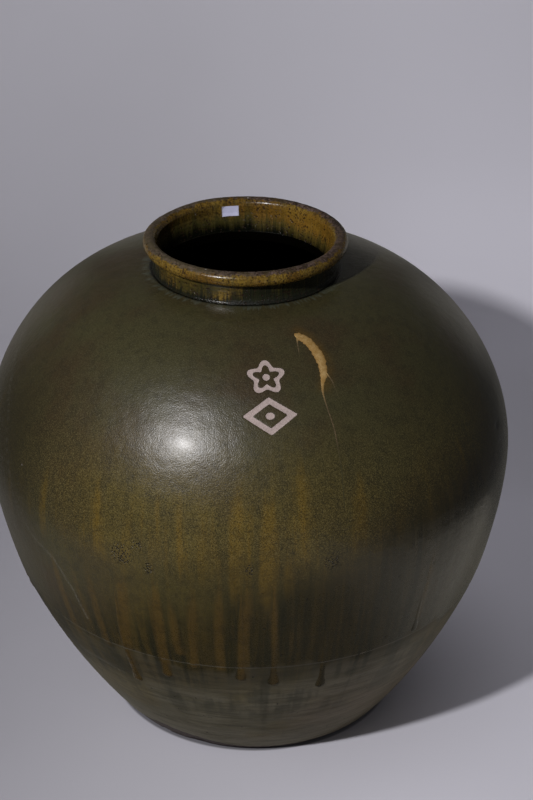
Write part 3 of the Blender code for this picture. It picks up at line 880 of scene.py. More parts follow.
class Finish(Nodes):
    """A Principled material under construction, with the point's place on the object. Each kind of
    finish has the NAME of its material and named tints."""

    def __init__(self, **shader_values):
        self.material = bpy.data.materials.new(self.NAME)
        self.material.use_nodes = True
        super().__init__(self.material.node_tree)
        values = {key.replace("_", " "): value for key, value in shader_values.items()}
        self.shader = self.node("ShaderNodeBsdfPrincipled", {}, values)
        self.output = self.node("ShaderNodeOutputMaterial", {}, {"Surface": self.shader.outputs[0]})
        self.point = self.node("ShaderNodeTexCoord", {}, {}).outputs["Object"]
        split = self.node("ShaderNodeSeparateXYZ", {}, {"Vector": self.point})
        self.x, self.y, self.z = (Wire(self, socket) for socket in split.outputs)

    def feed(self, **sockets):
        """Values or links into the shader's own sockets."""
        for key, value in sockets.items():
            self.put(self.shader.inputs[key.replace("_", " ")], value)

    def noise(self, scale, detail=2.0, roughness=0.5, vector=None):
        """Noise of about 0 to 1 round 0.5, at so many features a unit of the vector."""
        vector = self.point if vector is None else vector
        values = {"Vector": vector, "Scale": scale, "Detail": detail, "Roughness": roughness}
        return Wire(self, self.node("ShaderNodeTexNoise", {}, values).outputs[0])

    def cells(self, scale):
        """Distance to the nearest of scattered points, in cell widths."""
        values = {"Vector": self.point, "Scale": scale, "Randomness": 1.0}
        return Wire(self, self.node("ShaderNodeTexVoronoi", {}, values).outputs["Distance"])

    def field(self, name):
        """A point attribute of the mesh."""
        return Wire(self, self.node("ShaderNodeAttribute", {"attribute_name": name}, {}).outputs["Fac"])

    def bump(self, height, distance, strength):
        """Bump from a height field, in metres of relief for a whole step of it."""
        node = self.node("ShaderNodeBump", {}, {"Height": height, "Distance": distance, "Strength": strength})
        self.feed(Normal=node.outputs[0])


class TurnedFinish(Finish):
    """A finish for patterns that run down a turned wall: far is the distance from the jar's leaning
    axis, and unit_x and unit_y are the direction from it, so that unit_y is -1 at the front."""

    def __init__(self, form, glaze, **shader_values):
        super().__init__(**shader_values)
        self.form, self.glaze = form, glaze
        across = self.x + self.z * form.lean
        self.far = (across * across + self.y * self.y).root()
        self.unit_x, self.unit_y = across / self.far, self.y / self.far
        self.leftward = self.unit_x * -1.0

    def flowing(self, around, up, detail, roughness):
        """Noise stretched along the wall: about `around` features a radian and `up` features a metre."""
        place_on = {"X": self.unit_x * around, "Y": self.unit_y * around, "Z": self.z * up}
        vector = self.node("ShaderNodeCombineXYZ", {}, place_on).outputs[0]
        return self.noise(1.0, detail, roughness, vector)


class TeaDust(TurnedFinish):
    """Tea-dust glaze on the wall: speckled olive on the shoulder, ochre streaks round the belly, rust
    runs on the taper, and a thin grey wash with bare clay at the foot."""

    NAME = "jar_tea_dust_glaze"
    BELLY_YELLOW = (0.100, 0.073, 0.0145)
    BELLY_ORANGE = (0.135, 0.082, 0.009)
    BELLY_CLOUD = (0.050, 0.039, 0.013)
    BELLY_BROWN_AND_SHADE = (0.036, 0.025, 0.0075)
    BELLY_CRYSTAL = (0.175, 0.140, 0.050)
    LEFT_SMOKE = ((0.029, 0.026, 0.010), (0.061, 0.042, 0.011))
    RIGHT_SMOKE_PAINTED_SHADE = ((0.012, 0.0107, 0.0050), (0.030, 0.021, 0.0060))
    SMOKE_GREY = (0.019, 0.018, 0.009)
    SMOKE_WARM = (0.050, 0.034, 0.011)
    SMOKE_DEEP = (0.012, 0.012, 0.008)
    PALE_GLAZE_AND_REFLECTION = (0.058, 0.050, 0.030)
    SPLASH_STAIN = (0.105, 0.055, 0.007)
    WASH_DARK = (0.110, 0.098, 0.058)
    WASH_OCHRE = (0.140, 0.110, 0.045)
    WASH_BROWN = (0.120, 0.085, 0.050)
    WASH_GREY = (0.042, 0.043, 0.030)
    WASH_PALE = (0.190, 0.172, 0.122)
    WASH_RIGHT = (0.165, 0.140, 0.098)
    RING_DARK = (0.026, 0.022, 0.013)
    RING_PALE = (0.145, 0.130, 0.100)
    SEAM_PALE = (0.160, 0.145, 0.105)
    PIT = (0.009, 0.007, 0.005)
    CHIP_PALE = (0.26, 0.23, 0.21)
    POCK = (0.006, 0.005, 0.004)
    SCAR = (0.19, 0.18, 0.15)
    CUT_SHADOW = (0.020, 0.016, 0.011)
    CUT_WORN = (0.25, 0.19, 0.165)
    SILHOUETTE_SHADE = (0.018, 0.014, 0.005)
    FOOT_DARK_LINE = (0.010, 0.008, 0.006)
    CLAY_DARK = (0.040, 0.028, 0.024)
    INSIDE = (0.0012, 0.0010, 0.0006)

    def __init__(self, form, glaze):
        super().__init__(form, glaze, Specular_IOR_Level=0.46, Coat_Roughness=0.22, Coat_IOR=1.4)
        z, unit_x = self.z, self.unit_x
        self.clouds = self.noise(9.0, 4.0, 0.55)
        self.patches = self.noise(26.0, 3.0, 0.6)
        self.grain = self.noise(820.0, 2.0, 0.65)
        self.flow = self.flowing(13.0, 5.0, 3.0, 0.6)
        self.fine_flow = self.flowing(42.0, 9.0, 2.0, 0.55)
        self.smear = self.flowing(24.0, 4.5, 4.0, 0.6)
        self.wipe = self.flowing(3.0, 95.0, 4.0, 0.65)
        self.rings = self.flowing(5.0, 330.0, 3.0, 0.6)
        self.blue_grey = self.patches * 0.5 + self.smear * 0.5

        self.belly = z.step(0.462, 0.362)
        self.low = (z - unit_x * 0.10 + (self.flow - 0.5) * 0.06).step(0.312, 0.232)
        self.ragged = (self.fine_flow - 0.5) * 0.9 + (self.flow - 0.5) * 0.6
        run = self.field("run")
        self.heart = (run + self.ragged * 0.6 * run.step(0.05, 0.3)).step(0.22, 0.95)
        thinness = self.field("wash") + (self.smear - 0.5) * 1.3 + (self.patches - 0.5) * 0.6
        self.thinness = thinness.step(0.22, 0.92)
        self.under = self.thinness * (1.0 - self.heart * 0.7)
        self.surface()

    def surface(self):
        """All layers from the thick glaze outwards, and then the gloss and the texture."""
        smoke = self.smoke()
        base = self.taper(self.belly_tints(), smoke)
        base = self.mix(self.under, self.speckle(base), self.wash(smoke))
        pocks = self.cells(62.0).step(0.075, 0.045) * self.low
        pits = (self.field("pit").step(0.15, 0.60) * self.cells(470.0).step(0.50, 0.28)).greatest(pocks)
        carved_reach = self.field("cut") + (self.noise(430.0, 2.0) - 0.5) * 0.16
        carved = carved_reach.step(0.49, 0.56)
        foot_reach = self.field("bare") + (self.noise(300.0, 3.0, 0.6) - 0.5) * 0.25
        bare = foot_reach.step(-0.04, 0.04)
        inside = self.field("inside").step(0.3, 0.7)
        base = self.marks(base, pits)
        base = self.ornament(base, carved_reach, carved)
        base = self.neck_edge(base)
        base = self.foot(base, foot_reach, bare)
        dull = (bare + carved + self.under * 0.30).held()
        rough = 0.34 + self.grain.step(0.4, 0.65) * 0.06 + dull * 0.40
        rough = rough - self.low * (1.0 - self.thinness) * 0.08
        self.feed(
            Base_Color=self.mix(inside, base, self.INSIDE),
            Roughness=rough * (1.0 - inside) + inside * 0.14,
            Coat_Weight=(1.0 - dull - self.thinness - inside).held() * 0.16,
        )
        peel = self.noise(850.0, 1.0, 0.5)
        texture = peel * 0.62 + self.grain * 0.22 + self.noise(190.0, 2.0, 0.6) * 0.45
        height = texture * (1.0 - self.low * 0.65) + self.patches * 3.2
        height = height + (self.rings + self.wipe) * self.thinness * 0.5 - pits * 1.6 - carved * self.grain
        self.bump(height, 0.00030, 1.0)

    def belly_tints(self):
        """Olive clouded with brown, yellow and orange round the front of the belly, ochre streaks, and
        towards the right a darker brown that is partly the glaze's own and partly painted shade."""
        z, mix = self.z, self.mix
        base = mix(self.clouds.step(0.40, 0.66), self.glaze.olive, self.glaze.brown)
        yellow = self.belly * (self.flow.step(0.34, 0.64) * 0.5 + 0.45)
        yellow = yellow * self.leftward.step(0.36, 0.80, 1.0, 0.18) * self.unit_x.step(0.12, 0.55, 1.0, 0.36)
        yellow = yellow * z.step(0.285, 0.330, 0.55, 1.0)
        base = mix(yellow, base, self.BELLY_YELLOW)
        orange = self.fine_flow.step(0.50, 0.68) * z.step(0.40, 0.34) * yellow * 0.6
        base = mix(orange, base, self.BELLY_ORANGE)
        base = mix(self.patches.step(0.56, 0.42) * self.belly * 0.40, base, self.BELLY_CLOUD)
        streak = self.field("streak")
        tint = (streak + self.ragged * streak.step(0.05, 0.4)).step(0.20, 1.05)
        base = mix(tint * 0.68, base, self.glaze.ochre)
        # Painted shade, over some real brown, darkens the belly's right side, away from the lamp
        return mix(self.unit_x.step(0.08, 0.50) * z.step(0.40, 0.325) * 0.62, base, self.BELLY_BROWN_AND_SHADE)

    def smoke(self):
        """The smoky brown of the taper, darker on the right by painted shade, with grey clouds and warm and
        deep strands.
        """
        brushed = self.smear.step(0.36, 0.64)
        left, right = self.mix(brushed, *self.LEFT_SMOKE), self.mix(brushed, *self.RIGHT_SMOKE_PAINTED_SHADE)
        # Painted shade: the right-hand copy of the smoke is a darker copy of the left-hand one
        smoke = self.mix(self.unit_x.step(-0.35, 0.35), left, right)
        smoke = self.mix(self.blue_grey.step(0.52, 0.42) * 0.55, smoke, self.SMOKE_GREY)
        smoke = self.mix(self.fine_flow.step(0.50, 0.66) * 0.40, smoke, self.SMOKE_WARM)
        return self.mix(self.fine_flow.step(0.46, 0.34) * 0.50, smoke, self.SMOKE_DEEP)

    def taper(self, base, smoke):
        """Smoke on the lower wall, a pale band on its right that is partly a paler glaze and partly a
        painted reflection of the floor, and the rust hearts of the runs.
        """
        base = self.mix(self.low * 0.92, base, smoke)
        # Painted reflection of the floor, partly a paler glaze: a sharp-topped pale band low on the right
        reach = self.unit_x.step(0.45, 0.68) * self.unit_y.step(0.15, -0.15)
        reach = reach * self.z.step(0.328, 0.322) * self.z.step(0.15, 0.20)
        strands = self.smear.step(0.35, 0.65) * 0.25 + self.fine_flow.step(0.42, 0.60) * 0.45 + 0.05
        base = self.mix(reach * strands, base, self.PALE_GLAZE_AND_REFLECTION)
        return self.mix(self.heart * 0.66, base, self.glaze.rust)

    def speckle(self, base):
        """Dark blotches, the splash's stain, and pale crystals on a dark ground."""
        base = self.mix(self.noise(95.0, 3.0, 0.65).step(0.52, 0.38) * 0.28, base, self.glaze.olive_dark)
        stain = self.field("stain") * self.patches.step(0.30, 0.60)
        base = self.mix(stain * 0.75, base, self.SPLASH_STAIN)
        contrast = (self.belly * 0.45 + 0.40) * self.z.step(0.270, 0.345, 0.35, 1.0)
        crystals = self.grain.step(0.51, 0.66) * (1.0 - self.low * 0.75) * contrast
        ground = self.grain.step(0.50, 0.36) * (1.0 - self.low * 0.5) * contrast
        crystal = self.mix(self.belly, self.glaze.olive_crystal, self.BELLY_CRYSTAL)
        base = self.mix(crystals * 0.60, base, crystal)
        return self.mix(ground * 0.85, base, self.glaze.olive_dark)

    def wash(self, smoke):
        """The thin wash over the foot: wiped grey, ochre clouds, warmer towards the right, paler at the
        foot, smoky at its top, with dark and pale rings."""
        z, mix = self.z, self.mix
        thin = mix(self.wipe.step(0.36, 0.64), self.WASH_DARK, self.glaze.wash)
        thin = mix(self.clouds.step(0.50, 0.62) * 0.6, thin, self.WASH_OCHRE)
        warm = (self.patches * 0.5 + self.unit_x * 0.45 + self.unit_y * -0.2).step(0.42, 0.75)
        warm_tint = mix(self.wipe.step(0.35, 0.6), self.WASH_BROWN, self.glaze.warm_wash)
        thin = mix(warm * z.step(0.125, 0.075, 0.15, 0.7), thin, warm_tint)
        thin = mix(self.blue_grey.step(0.53, 0.43) * z.step(0.06, 0.11) * 0.50, thin, self.WASH_GREY)
        thin = mix(z.step(0.060, 0.018) * self.wipe.step(0.25, 0.55) * 0.8, thin, self.WASH_PALE)
        thin = mix(self.unit_x.step(0.10, 0.45) * z.step(0.150, 0.120) * 0.40, thin, self.WASH_RIGHT)
        thin = mix((z - self.unit_x * 0.04 + 0.01).step(0.128, 0.178) * 0.72, thin, smoke)
        thin = mix(self.rings.step(0.52, 0.36) * 0.30, thin, self.RING_DARK)
        return mix(self.rings.step(0.66, 0.74) * self.patches.step(0.45, 0.60) * 0.5, thin, self.RING_PALE)

    def marks(self, base, pits):
        """The pale lower seam, 1 - t^2 across it, the pits, the chips and pocks, and the scars."""
        seam = (self.z - self.form.seam_height + 0.0004) / 0.0012
        seam = (1.0 - seam * seam).held() * self.smear.step(0.25, 0.50)
        base = self.mix(seam * 0.75, base, self.SEAM_PALE)
        base = self.mix(pits * 0.92, base, self.PIT)
        chip = self.field("chip")
        base = self.mix(chip.step(0.35, 0.6) * 0.9, base, self.CHIP_PALE)
        base = self.mix((chip * -1.0).step(0.3, 0.7), base, self.POCK)
        scar = self.field("scar") * self.noise(420.0, 2.0).step(0.35, 0.6)
        return self.mix(scar * 0.55, base, self.SCAR)

    def ornament(self, base, reach, carved):
        """The ornament cut down to pale clay, with a dark line round it."""
        shadow = reach.step(0.40, 0.49) * (1.0 - carved)
        base = self.mix(shadow * 0.55, base, self.CUT_SHADOW)
        worn = self.noise(700.0, 2.0).step(0.65, 0.35) * 0.4
        return self.mix(carved, base, self.mix(worn, self.glaze.cut_clay, self.CUT_WORN))

    def neck_edge(self, base):
        """Dark tongues of the neck's glaze that run on to the shoulder, with pale ends, and the shade
        of the jar's left side."""
        fine_flow = self.fine_flow
        beyond = self.far - self.form.neck_base_radius
        near_neck = self.z.step(0.492, 0.499)
        reach = fine_flow.step(0.36, 0.68) * 0.0070 + self.smear.step(0.40, 0.60) * 0.0030 + 0.0006
        fringe = (beyond - reach).step(0.0040, 0.0) * near_neck * (fine_flow.step(0.42, 0.60) * 0.9 + 0.15)
        tongues = (beyond - reach * 0.62).step(0.0010, -0.0008) * near_neck
        tongues = tongues * fine_flow.step(0.60, 0.44, 0.45, 1.0)
        base = self.mix(fringe * 0.45, base, self.glaze.fringe)
        base = self.mix(tongues * 0.9, base, self.glaze.neck_black)
        left_side = self.leftward.step(0.66, 0.90) * self.z.step(0.20, 0.30) * self.z.step(0.48, 0.38)
        return self.mix(left_side * 0.75, base, self.SILHOUETTE_SHADE)

    def foot(self, base, reach, bare):
        """Bare clay at the foot under a dark line."""
        line = reach.step(-0.40, -0.06) * (1.0 - bare)
        base = self.mix(line * 0.75, base, self.FOOT_DARK_LINE)
        worn = self.noise(240.0, 4.0, 0.7).step(0.65, 0.3) * 0.7
        return self.mix(bare, base, self.mix(worn, self.glaze.clay, self.CLAY_DARK))


class NeckGlaze(TurnedFinish):
    """Mustard glaze that runs down over black, outside on the collar and inside the mouth. Each kind
    has its own layers."""

    OCHRE_BROWN = (0.115, 0.052, 0.008)
    OCHRE_OLIVE = (0.062, 0.048, 0.010)
    OCHRE_GRAIN = (0.045, 0.026, 0.007)
    OCHRE_TICK = (0.024, 0.013, 0.006)
    BORE_LEFT = (0.026, 0.019, 0.007)
    BORE_RIGHT = (0.235, 0.120, 0.014)
    BLACK_GREEN = (0.018, 0.019, 0.008)
    BORE_BLACK = (0.0024, 0.0030, 0.0014)
    GREEN = (0.034, 0.036, 0.011)
    MURKY = (0.040, 0.038, 0.010)
    POOL = (0.006, 0.007, 0.004)
    SPOT = (0.020, 0.010, 0.006)
    RUN_OUTSIDE, RUN_INSIDE = 0.0286, 0.0240

    def __init__(self, form, glaze, coat, **shader_values):
        super().__init__(form, glaze, Coat_Roughness=0.20, Coat_IOR=1.45, **shader_values)
        self.flow = self.flowing(13.0, 9.0, 3.0, 0.6)
        self.fine_flow = self.flowing(60.0, 22.0, 3.0, 0.65)
        self.grain = self.noise(480.0, 3.0, 0.6)
        self.clouds = self.noise(30.0, 3.0, 0.55)
        self.bore = (self.far - (form.neck_waist_radius - 0.0035)).step(0.0010, -0.0010)
        self.left = self.leftward.step(-0.2, 0.7)
        self.right = self.unit_x.step(-0.1, 0.9)
        coarse, fine = self.flow - 0.5, self.fine_flow - 0.5
        in_edge = coarse * 0.8 + fine * 0.6 + 0.82 + self.right * 0.20 - self.left * 0.10
        down_in = (form.rim_height - self.z) / self.RUN_INSIDE
        self.green_in = (down_in - in_edge).step(-0.62, -0.05)
        self.black_in = (down_in - in_edge).step(-0.22, 0.30)
        black = self.mix(self.fine_flow.step(0.35, 0.65), glaze.neck_black, self.BLACK_GREEN)
        self.black = self.mix(self.bore, black, self.BORE_BLACK)

        base, dull = self.layers(self.ochre())
        small = self.cells(430.0).step(0.36, 0.20) * self.noise(150.0, 2.0).step(0.46, 0.54)
        spots = (self.cells(260.0).step(0.36, 0.22) * self.noise(110.0, 2.0).step(0.47, 0.54)).greatest(small)
        self.feed(
            Base_Color=self.mix(spots * 0.85, base, self.SPOT),
            Roughness=0.22 + dull * 0.30 + self.grain.step(0.4, 0.7) * 0.06,
            Coat_Weight=(1.0 - dull) * coat,
        )
        height = self.grain * (0.5 + dull * 1.3) + self.clouds * 0.9 + self.fine_flow * 0.6 - spots * 0.7
        self.bump(height, 0.0004, 0.9)

    def ochre(self):
        """The mustard glaze itself: pale flow marks, brown clouds, olive flows, dark grain and ticks,
        darker inside on the left and more orange inside on the right."""
        ochre = self.mix(self.fine_flow.step(0.45, 0.72) * 0.45, self.glaze.neck_ochre, self.glaze.neck_pale)
        ochre = self.mix(self.clouds.step(0.38, 0.62) * 0.65, ochre, self.OCHRE_BROWN)
        ochre = self.mix(self.flow.step(0.52, 0.34) * 0.55, ochre, self.OCHRE_OLIVE)
        ochre = self.mix(self.grain.step(0.54, 0.40) * 0.65, ochre, self.OCHRE_GRAIN)
        ticks = self.flowing(95.0, 130.0, 2.0, 0.6)
        ochre = self.mix(ticks.step(0.60, 0.68) * 0.8, ochre, self.OCHRE_TICK)
        dim = self.left * self.bore * (self.fine_flow.step(0.36, 0.60) * 0.4 + 0.35)
        ochre = self.mix(dim, ochre, self.BORE_LEFT)
        return self.mix(self.right * self.bore * 0.45, ochre, self.BORE_RIGHT)


class CollarGlaze(NeckGlaze):
    """The collar's glaze: murky ochre flows over black outside, ochre, green and black inside, and a
    dark pool at its base that keeps its gloss towards the lamp."""

    NAME = "jar_collar_glaze"

    def __init__(self, form, glaze):
        super().__init__(form, glaze, 0.30, Specular_IOR_Level=0.24)

    def layers(self, ochre):
        """Base colour and dullness."""
        leftward = self.leftward
        front_left = leftward.step(-0.12, 0.34) * leftward.step(0.72, 0.98, 1.0, 0.4)
        out_edge = (self.flow - 0.5) * 2.3 + (self.fine_flow - 0.5) * 0.9 + 0.16 + front_left * 0.60
        black_out = ((self.form.rim_height - self.z) / self.RUN_OUTSIDE - out_edge).step(-0.46, 0.42)
        murky = self.mix(self.clouds.step(0.35, 0.60) * 0.8, ochre, self.MURKY)
        inner = self.mix(self.green_in * 0.75, ochre, self.GREEN)
        base = self.mix(black_out, murky, self.black)
        base = self.mix(self.bore, base, self.mix(self.black_in, inner, self.black))
        pool = (self.z + (self.fine_flow - 0.5) * 0.010).step(0.5110, 0.5075) * (1.0 - self.bore)
        glossy = leftward.step(0.05, 0.30) * leftward.step(0.95, 0.70) * self.unit_y.step(0.1, -0.2) * 0.9
        return self.mix(pool * 0.88, base, self.POOL), pool * (1.0 - glossy)


class RimGlaze(NeckGlaze):
    """The rolled rim's glaze: mustard, with a dry purple-brown crest that is mottled and chipped, and
    painted shade under the roll.
    """

    NAME = "jar_rim_glaze"
    CRUST_DARK = (0.018, 0.012, 0.012)
    CRUST_OLIVE = (0.056, 0.042, 0.014)
    CRUST_LEFT = (0.115, 0.102, 0.056)
    CREST_EDGE = (0.085, 0.045, 0.012)
    CREST_CHIP = (0.40, 0.37, 0.33)
    UNDER_ROLL_PAINTED_SHADE = (0.020, 0.015, 0.008)

    def __init__(self, form, glaze):
        super().__init__(form, glaze, 0.34, Specular_IOR_Level=0.14)

    def layers(self, ochre):
        """Base colour and dullness."""
        broken = (self.noise(330.0, 2.0, 0.6) - 0.5) * 1.6 + (self.noise(80.0, 4.0, 0.65) - 0.5) * 2.2
        crest = self.field("crest") + broken + (self.noise(14.0, 2.0) - 0.5) * 0.7 + self.left * 0.15
        dry = crest.step(0.46, 0.72)
        crust = self.mix(self.noise(300.0, 4.0, 0.8).step(0.42, 0.59), self.CRUST_DARK, self.glaze.crest)
        crust = self.mix(self.noise(60.0, 4.0, 0.65).step(0.46, 0.60) * 0.55, crust, self.CRUST_OLIVE)
        crust = self.mix(self.left * 0.32, crust, self.CRUST_LEFT)
        base = self.mix(dry * 0.92, ochre, crust)
        base = self.mix(dry * (1.0 - crest.step(0.60, 0.80)) * 0.35, base, self.CREST_EDGE)
        base = self.mix(self.cells(75.0).step(0.085, 0.055) * dry * 0.8, base, self.CREST_CHIP)
        # Painted shade on the underside of the roll
        base = self.mix(self.z.step(0.5285, 0.5268) * (1.0 - self.bore) * 0.75, base, self.UNDER_ROLL_PAINTED_SHADE)
        base = self.mix(self.bore * self.green_in * 0.75, base, self.GREEN)
        return self.mix(self.bore * self.black_in, base, self.black), dry


class SplashGlaze(Finish):
    """Ochre splash: pale and streaked where it lies thick, orange at its edges, and a thin red-brown
    trace with no gloss along its tail."""

    NAME = "jar_splash"
    THICK = (0.310, 0.182, 0.055)
    PALE_GRAIN, DARK_GRAIN = (0.42, 0.31, 0.15), (0.17, 0.095, 0.022)
    EDGE = (0.150, 0.070, 0.010)
    TAIL = ((0.078, 0.055, 0.027), (0.150, 0.105, 0.056))

    def __init__(self, glaze):
        super().__init__(Specular_IOR_Level=0.22)
        body, side = self.field("body"), self.field("side")
        grain, soft = self.noise(560.0, 3.0, 0.6), self.noise(120.0, 3.0, 0.6)
        base = self.mix(soft.step(0.35, 0.66), self.THICK, glaze.splash)
        base = self.mix(grain.step(0.52, 0.72) * 0.4, base, self.PALE_GRAIN)
        base = self.mix(grain.step(0.48, 0.34) * 0.4, base, self.DARK_GRAIN)
        edge = (side + (soft - 0.5) * 0.9 + (grain - 0.5) * 0.5).step(0.50, 1.05)
        base = self.mix(edge * 0.85, base, self.EDGE)
        base = self.mix(body.step(0.72, 0.36), base, self.mix(grain.step(0.4, 0.7), *self.TAIL))
        faded = edge.greatest((side + (grain - 0.5) * 0.8).step(0.25, 0.9)) * body.step(0.75, 0.45)
        faded = faded.greatest((body + (soft - 0.5) * 0.3).step(0.32, 0.04))
        self.feed(Base_Color=self.mix(faded, base, glaze.olive), Roughness=0.62 + grain * 0.12 - body * 0.15)
        self.bump(grain * 0.5 + soft * 0.6, 0.0003, 0.5)


class LabelPaper(Finish):
    """Blank matt paper with a faint fibre and soiled edges."""

    NAME = "jar_label"
    FIBRE, SOIL = (0.48, 0.47, 0.60), (0.30, 0.27, 0.24)

    def __init__(self, glaze):
        super().__init__(Specular_IOR_Level=0.3)
        fibre, soil = self.noise(900.0, 3.0, 0.6), self.noise(130.0, 3.0, 0.6)
        base = self.mix(fibre.step(0.35, 0.7) * 0.25, glaze.paper, self.FIBRE)
        soiled = (self.field("edge") + (soil - 0.5) * 0.3).step(0.82, 1.02)
        self.feed(Base_Color=self.mix(soiled * 0.45, base, self.SOIL), Roughness=0.72 + fibre * 0.12)
        self.bump(fibre, 0.00006, 0.5)


class SweepPaper(Finish):
    """Pale paper under and behind the jar, with painted shade towards the left. Far from the jar the
    camera sees the backdrop's plain shade. Rays that the glaze mirrors find the paper warmer, dim in
    front of the jar and gone far out, and the back of the sweep lets every ray through."""

    NAME = "jar_paper"
    WARM_FLOOR, WARM_HAZE = (0.79, 0.75, 0.60), (0.37, 0.345, 0.27)

    def __init__(self, stage):
        super().__init__(Roughness=0.9, Specular_IOR_Level=0.2)
        self.stage = stage
        self.seen, self.mirrored = self.ray("Is Camera Ray"), self.ray("Is Glossy Ray")
        self.away = (self.x * self.x + self.y * self.y).root()
        tint = self.mix(self.mirrored * 0.7, stage.floor, self.WARM_FLOOR)
        haze = self.mix(self.mirrored, stage.backdrop, self.WARM_HAZE)
        self.feed(
            Base_Color=self.scaled(tint, self.tone()),
            Emission_Color=self.scaled(haze, self.glow()),
            Emission_Strength=1.0,
        )
        plain = self.node("ShaderNodeEmission", {}, {"Color": stage.backdrop, "Strength": 1.0})
        distant = self.away.step(0.85, 1.9) * self.seen
        faded = self.mixed_shader(distant, self.shader.outputs[0], plain.outputs[0])
        back = Wire(self, self.node("ShaderNodeNewGeometry", {}, {}).outputs["Backfacing"])
        clear = self.node("ShaderNodeBsdfTransparent", {}, {})
        gone = back.greatest(self.beyond() * (1.0 - self.seen))
        self.put(self.output.inputs["Surface"], self.mixed_shader(gone, faded, clear.outputs[0]))

    def tone(self):
        """Paleness of the paper, which is painted light and shade: it rises from left to right, and a
        dark ring at the foot is a painted contact shadow."""
        x, y, z = self.x, self.y, self.z
        # Painted light and shade over a faint random tone: paler to the right and varied up the wall
        tone = self.noise(2.2, 3.0, 0.5).step(0.3, 0.7) * 0.03 + x.step(-0.60, 0.25, 0.47, 0.86)
        tone = tone + x.step(-0.05, -0.40) * z.step(0.02, 0.40, -0.05, 0.06)
        tone = tone + x.step(0.0, 0.25) * z.step(0.05, 0.18) * z.step(0.45, 0.30) * 0.08
        tone = tone - x.step(0.1, 0.3) * z.step(0.05, 0.0) * 0.02
        behind = x.step(0.32, 0.22) * x.step(-0.32, -0.22) * y.step(-0.22, -0.06)
        front = self.mirrored * x.step(0.46, 0.20) * x.step(-0.48, -0.24) * (1.0 - behind * 0.8)
        return tone * (1.0 - front * 0.93) * self.away.step(0.1575, 0.1612, 0.30, 1.0)

    def glow(self):
        """Light that the room adds: on the wall as the camera sees it, and on the floor to the right."""
        x, z = self.x, self.z
        wall = z.step(0.0, 0.2, 0.0, 0.34) * z.step(0.35, 0.65, 1.0, 0.25)
        wall = wall * x.step(0.45, 0.80, 0.62, 1.0) * x.step(-0.15, 0.40)
        floor = z.step(0.2, 0.0) * self.away.step(0.12, 0.38, 0.0, 0.26) * x.step(-0.15, 0.20)
        return self.seen * wall + floor

    def beyond(self):
        """How far the paper has ended for rays that the camera doesn't see: at its sides, its top and
        low on the wall to the right."""
        x, y, z = self.x, self.y, self.z
        side = x.step(0.61, 0.71) + x.step(-0.60, -0.80)
        side = side + x.step(0.28, 0.42) * y.step(0.15, 0.27) * z.step(0.34, 0.22) * 0.75
        return (side + z.step(0.55, 0.68)).held()


# Operators


def jar(context):
    """The form, the glazes and the profile that every operator starts from."""
    scene = context.scene
    return scene.jar_form, scene.jar_glaze, Profile(scene.jar_form)


def made(finish, *given):
    """The material of a kind of finish, made on first use."""
    return bpy.data.materials.get(finish.NAME) or finish(*given).material


# Chips of the foot's edge: depth, angle, width in degrees, and the heights between which each ends
FOOT_CHIPS = ((0.0024, -22.0, 3.6, 0.0065, 0.0105), (0.0016, 131.0, 2.6, 0.0045, 0.0075))
FOOT_WEAR = 0.0009


class JAR_OT_foot(bpy.types.Operator):
    """Turn the clay disc that the jar stands on, with its bevelled and chipped edge"""

    bl_idname = "jar.foot"
    bl_label = "Foot"

    def execute(self, context):
        form, glaze, profile = jar(context)
        turns, chamfer, top = wall_turns(), form.foot_chamfer, form.slab_thickness
        heights = spread(chamfer, top, 0.0011, [chamfer, top], 0.0004, 0.2)[:, None]
        outer = self.worn_edge(form, profile, turns, heights)
        flat, corner = self.underside(form, turns, outer[0])
        face = groove(form, (float(profile.radius(top)), float(profile.inner_radius(top))), top)
        seat = place(form, face[:, 0:1], turns, face[:, 1:2])
        radii = np.linspace(face[-1, 0] * 0.97, 0.006, 16)[:, None]
        disc = place(form, radii, turns, np.full_like(radii, face[-1, 1]))
        grid = np.concatenate([flat, corner[:-1], outer, seat, disc], axis=0)
        shown = np.concatenate([np.zeros(len(flat)), corner[:-1, 0, 2], heights[:, 0]])[:, None]
        fields = wall_fields(profile, turns, shown, len(seat) + len(disc))
        poles = np.zeros(3), place(form, 0.0, 0.0, face[-1, 1])
        slab = with_poles(grid, fields, *poles)
        make_piece("base_slab", *slab, made(TeaDust, form, glaze), "bare_clay", ["base_slab"])
        return {"FINISHED"}

    def worn_edge(self, form, profile, turns, heights):
        """The wall's outer face on the disc, with wear and chips drawn in towards the axis."""
        outer = wall_point(form, profile, turns, heights)
        wear = FOOT_WEAR * soft_step(waves(turns, 0.0, 21, 7, (9, 40), 1.0), 0.15, 0.6)
        chips = 0.0
        for depth, turn, wide, low, high in FOOT_CHIPS:
            across = bump(turn_apart(turns, turn), 0.0, wide)
            chips = chips + depth * across * soft_step(-heights, -high, -low)
        inwards = place(form, 0.0, turns, heights) - outer
        inwards /= np.linalg.norm(inwards, axis=-1)[..., None]
        return outer + inwards * (chips + wear * soft_step(-heights, -0.007, -0.003))[..., None]

    def underside(self, form, turns, rim):
        """The resting face, and the bevel from its ring to the rim, for t from 0 to a quarter turn:
        1 - cos t of the way outwards and (1 - cos t)^0.9 of the way up."""
        share_out = 1.0 - np.cos(np.linspace(0.0, 1.0, 7)[:, None] * math.pi / 2)
        ring = place(form, form.foot_radius - form.foot_chamfer, turns, 0.0)[0]
        corner = ring[None] + (rim - ring)[None] * share_out[..., None]
        corner[..., 2] = rim[None, :, 2] * share_out**0.9
        return ring[None] * np.linspace(0.04, 0.995, 22)[:, None, None], corner


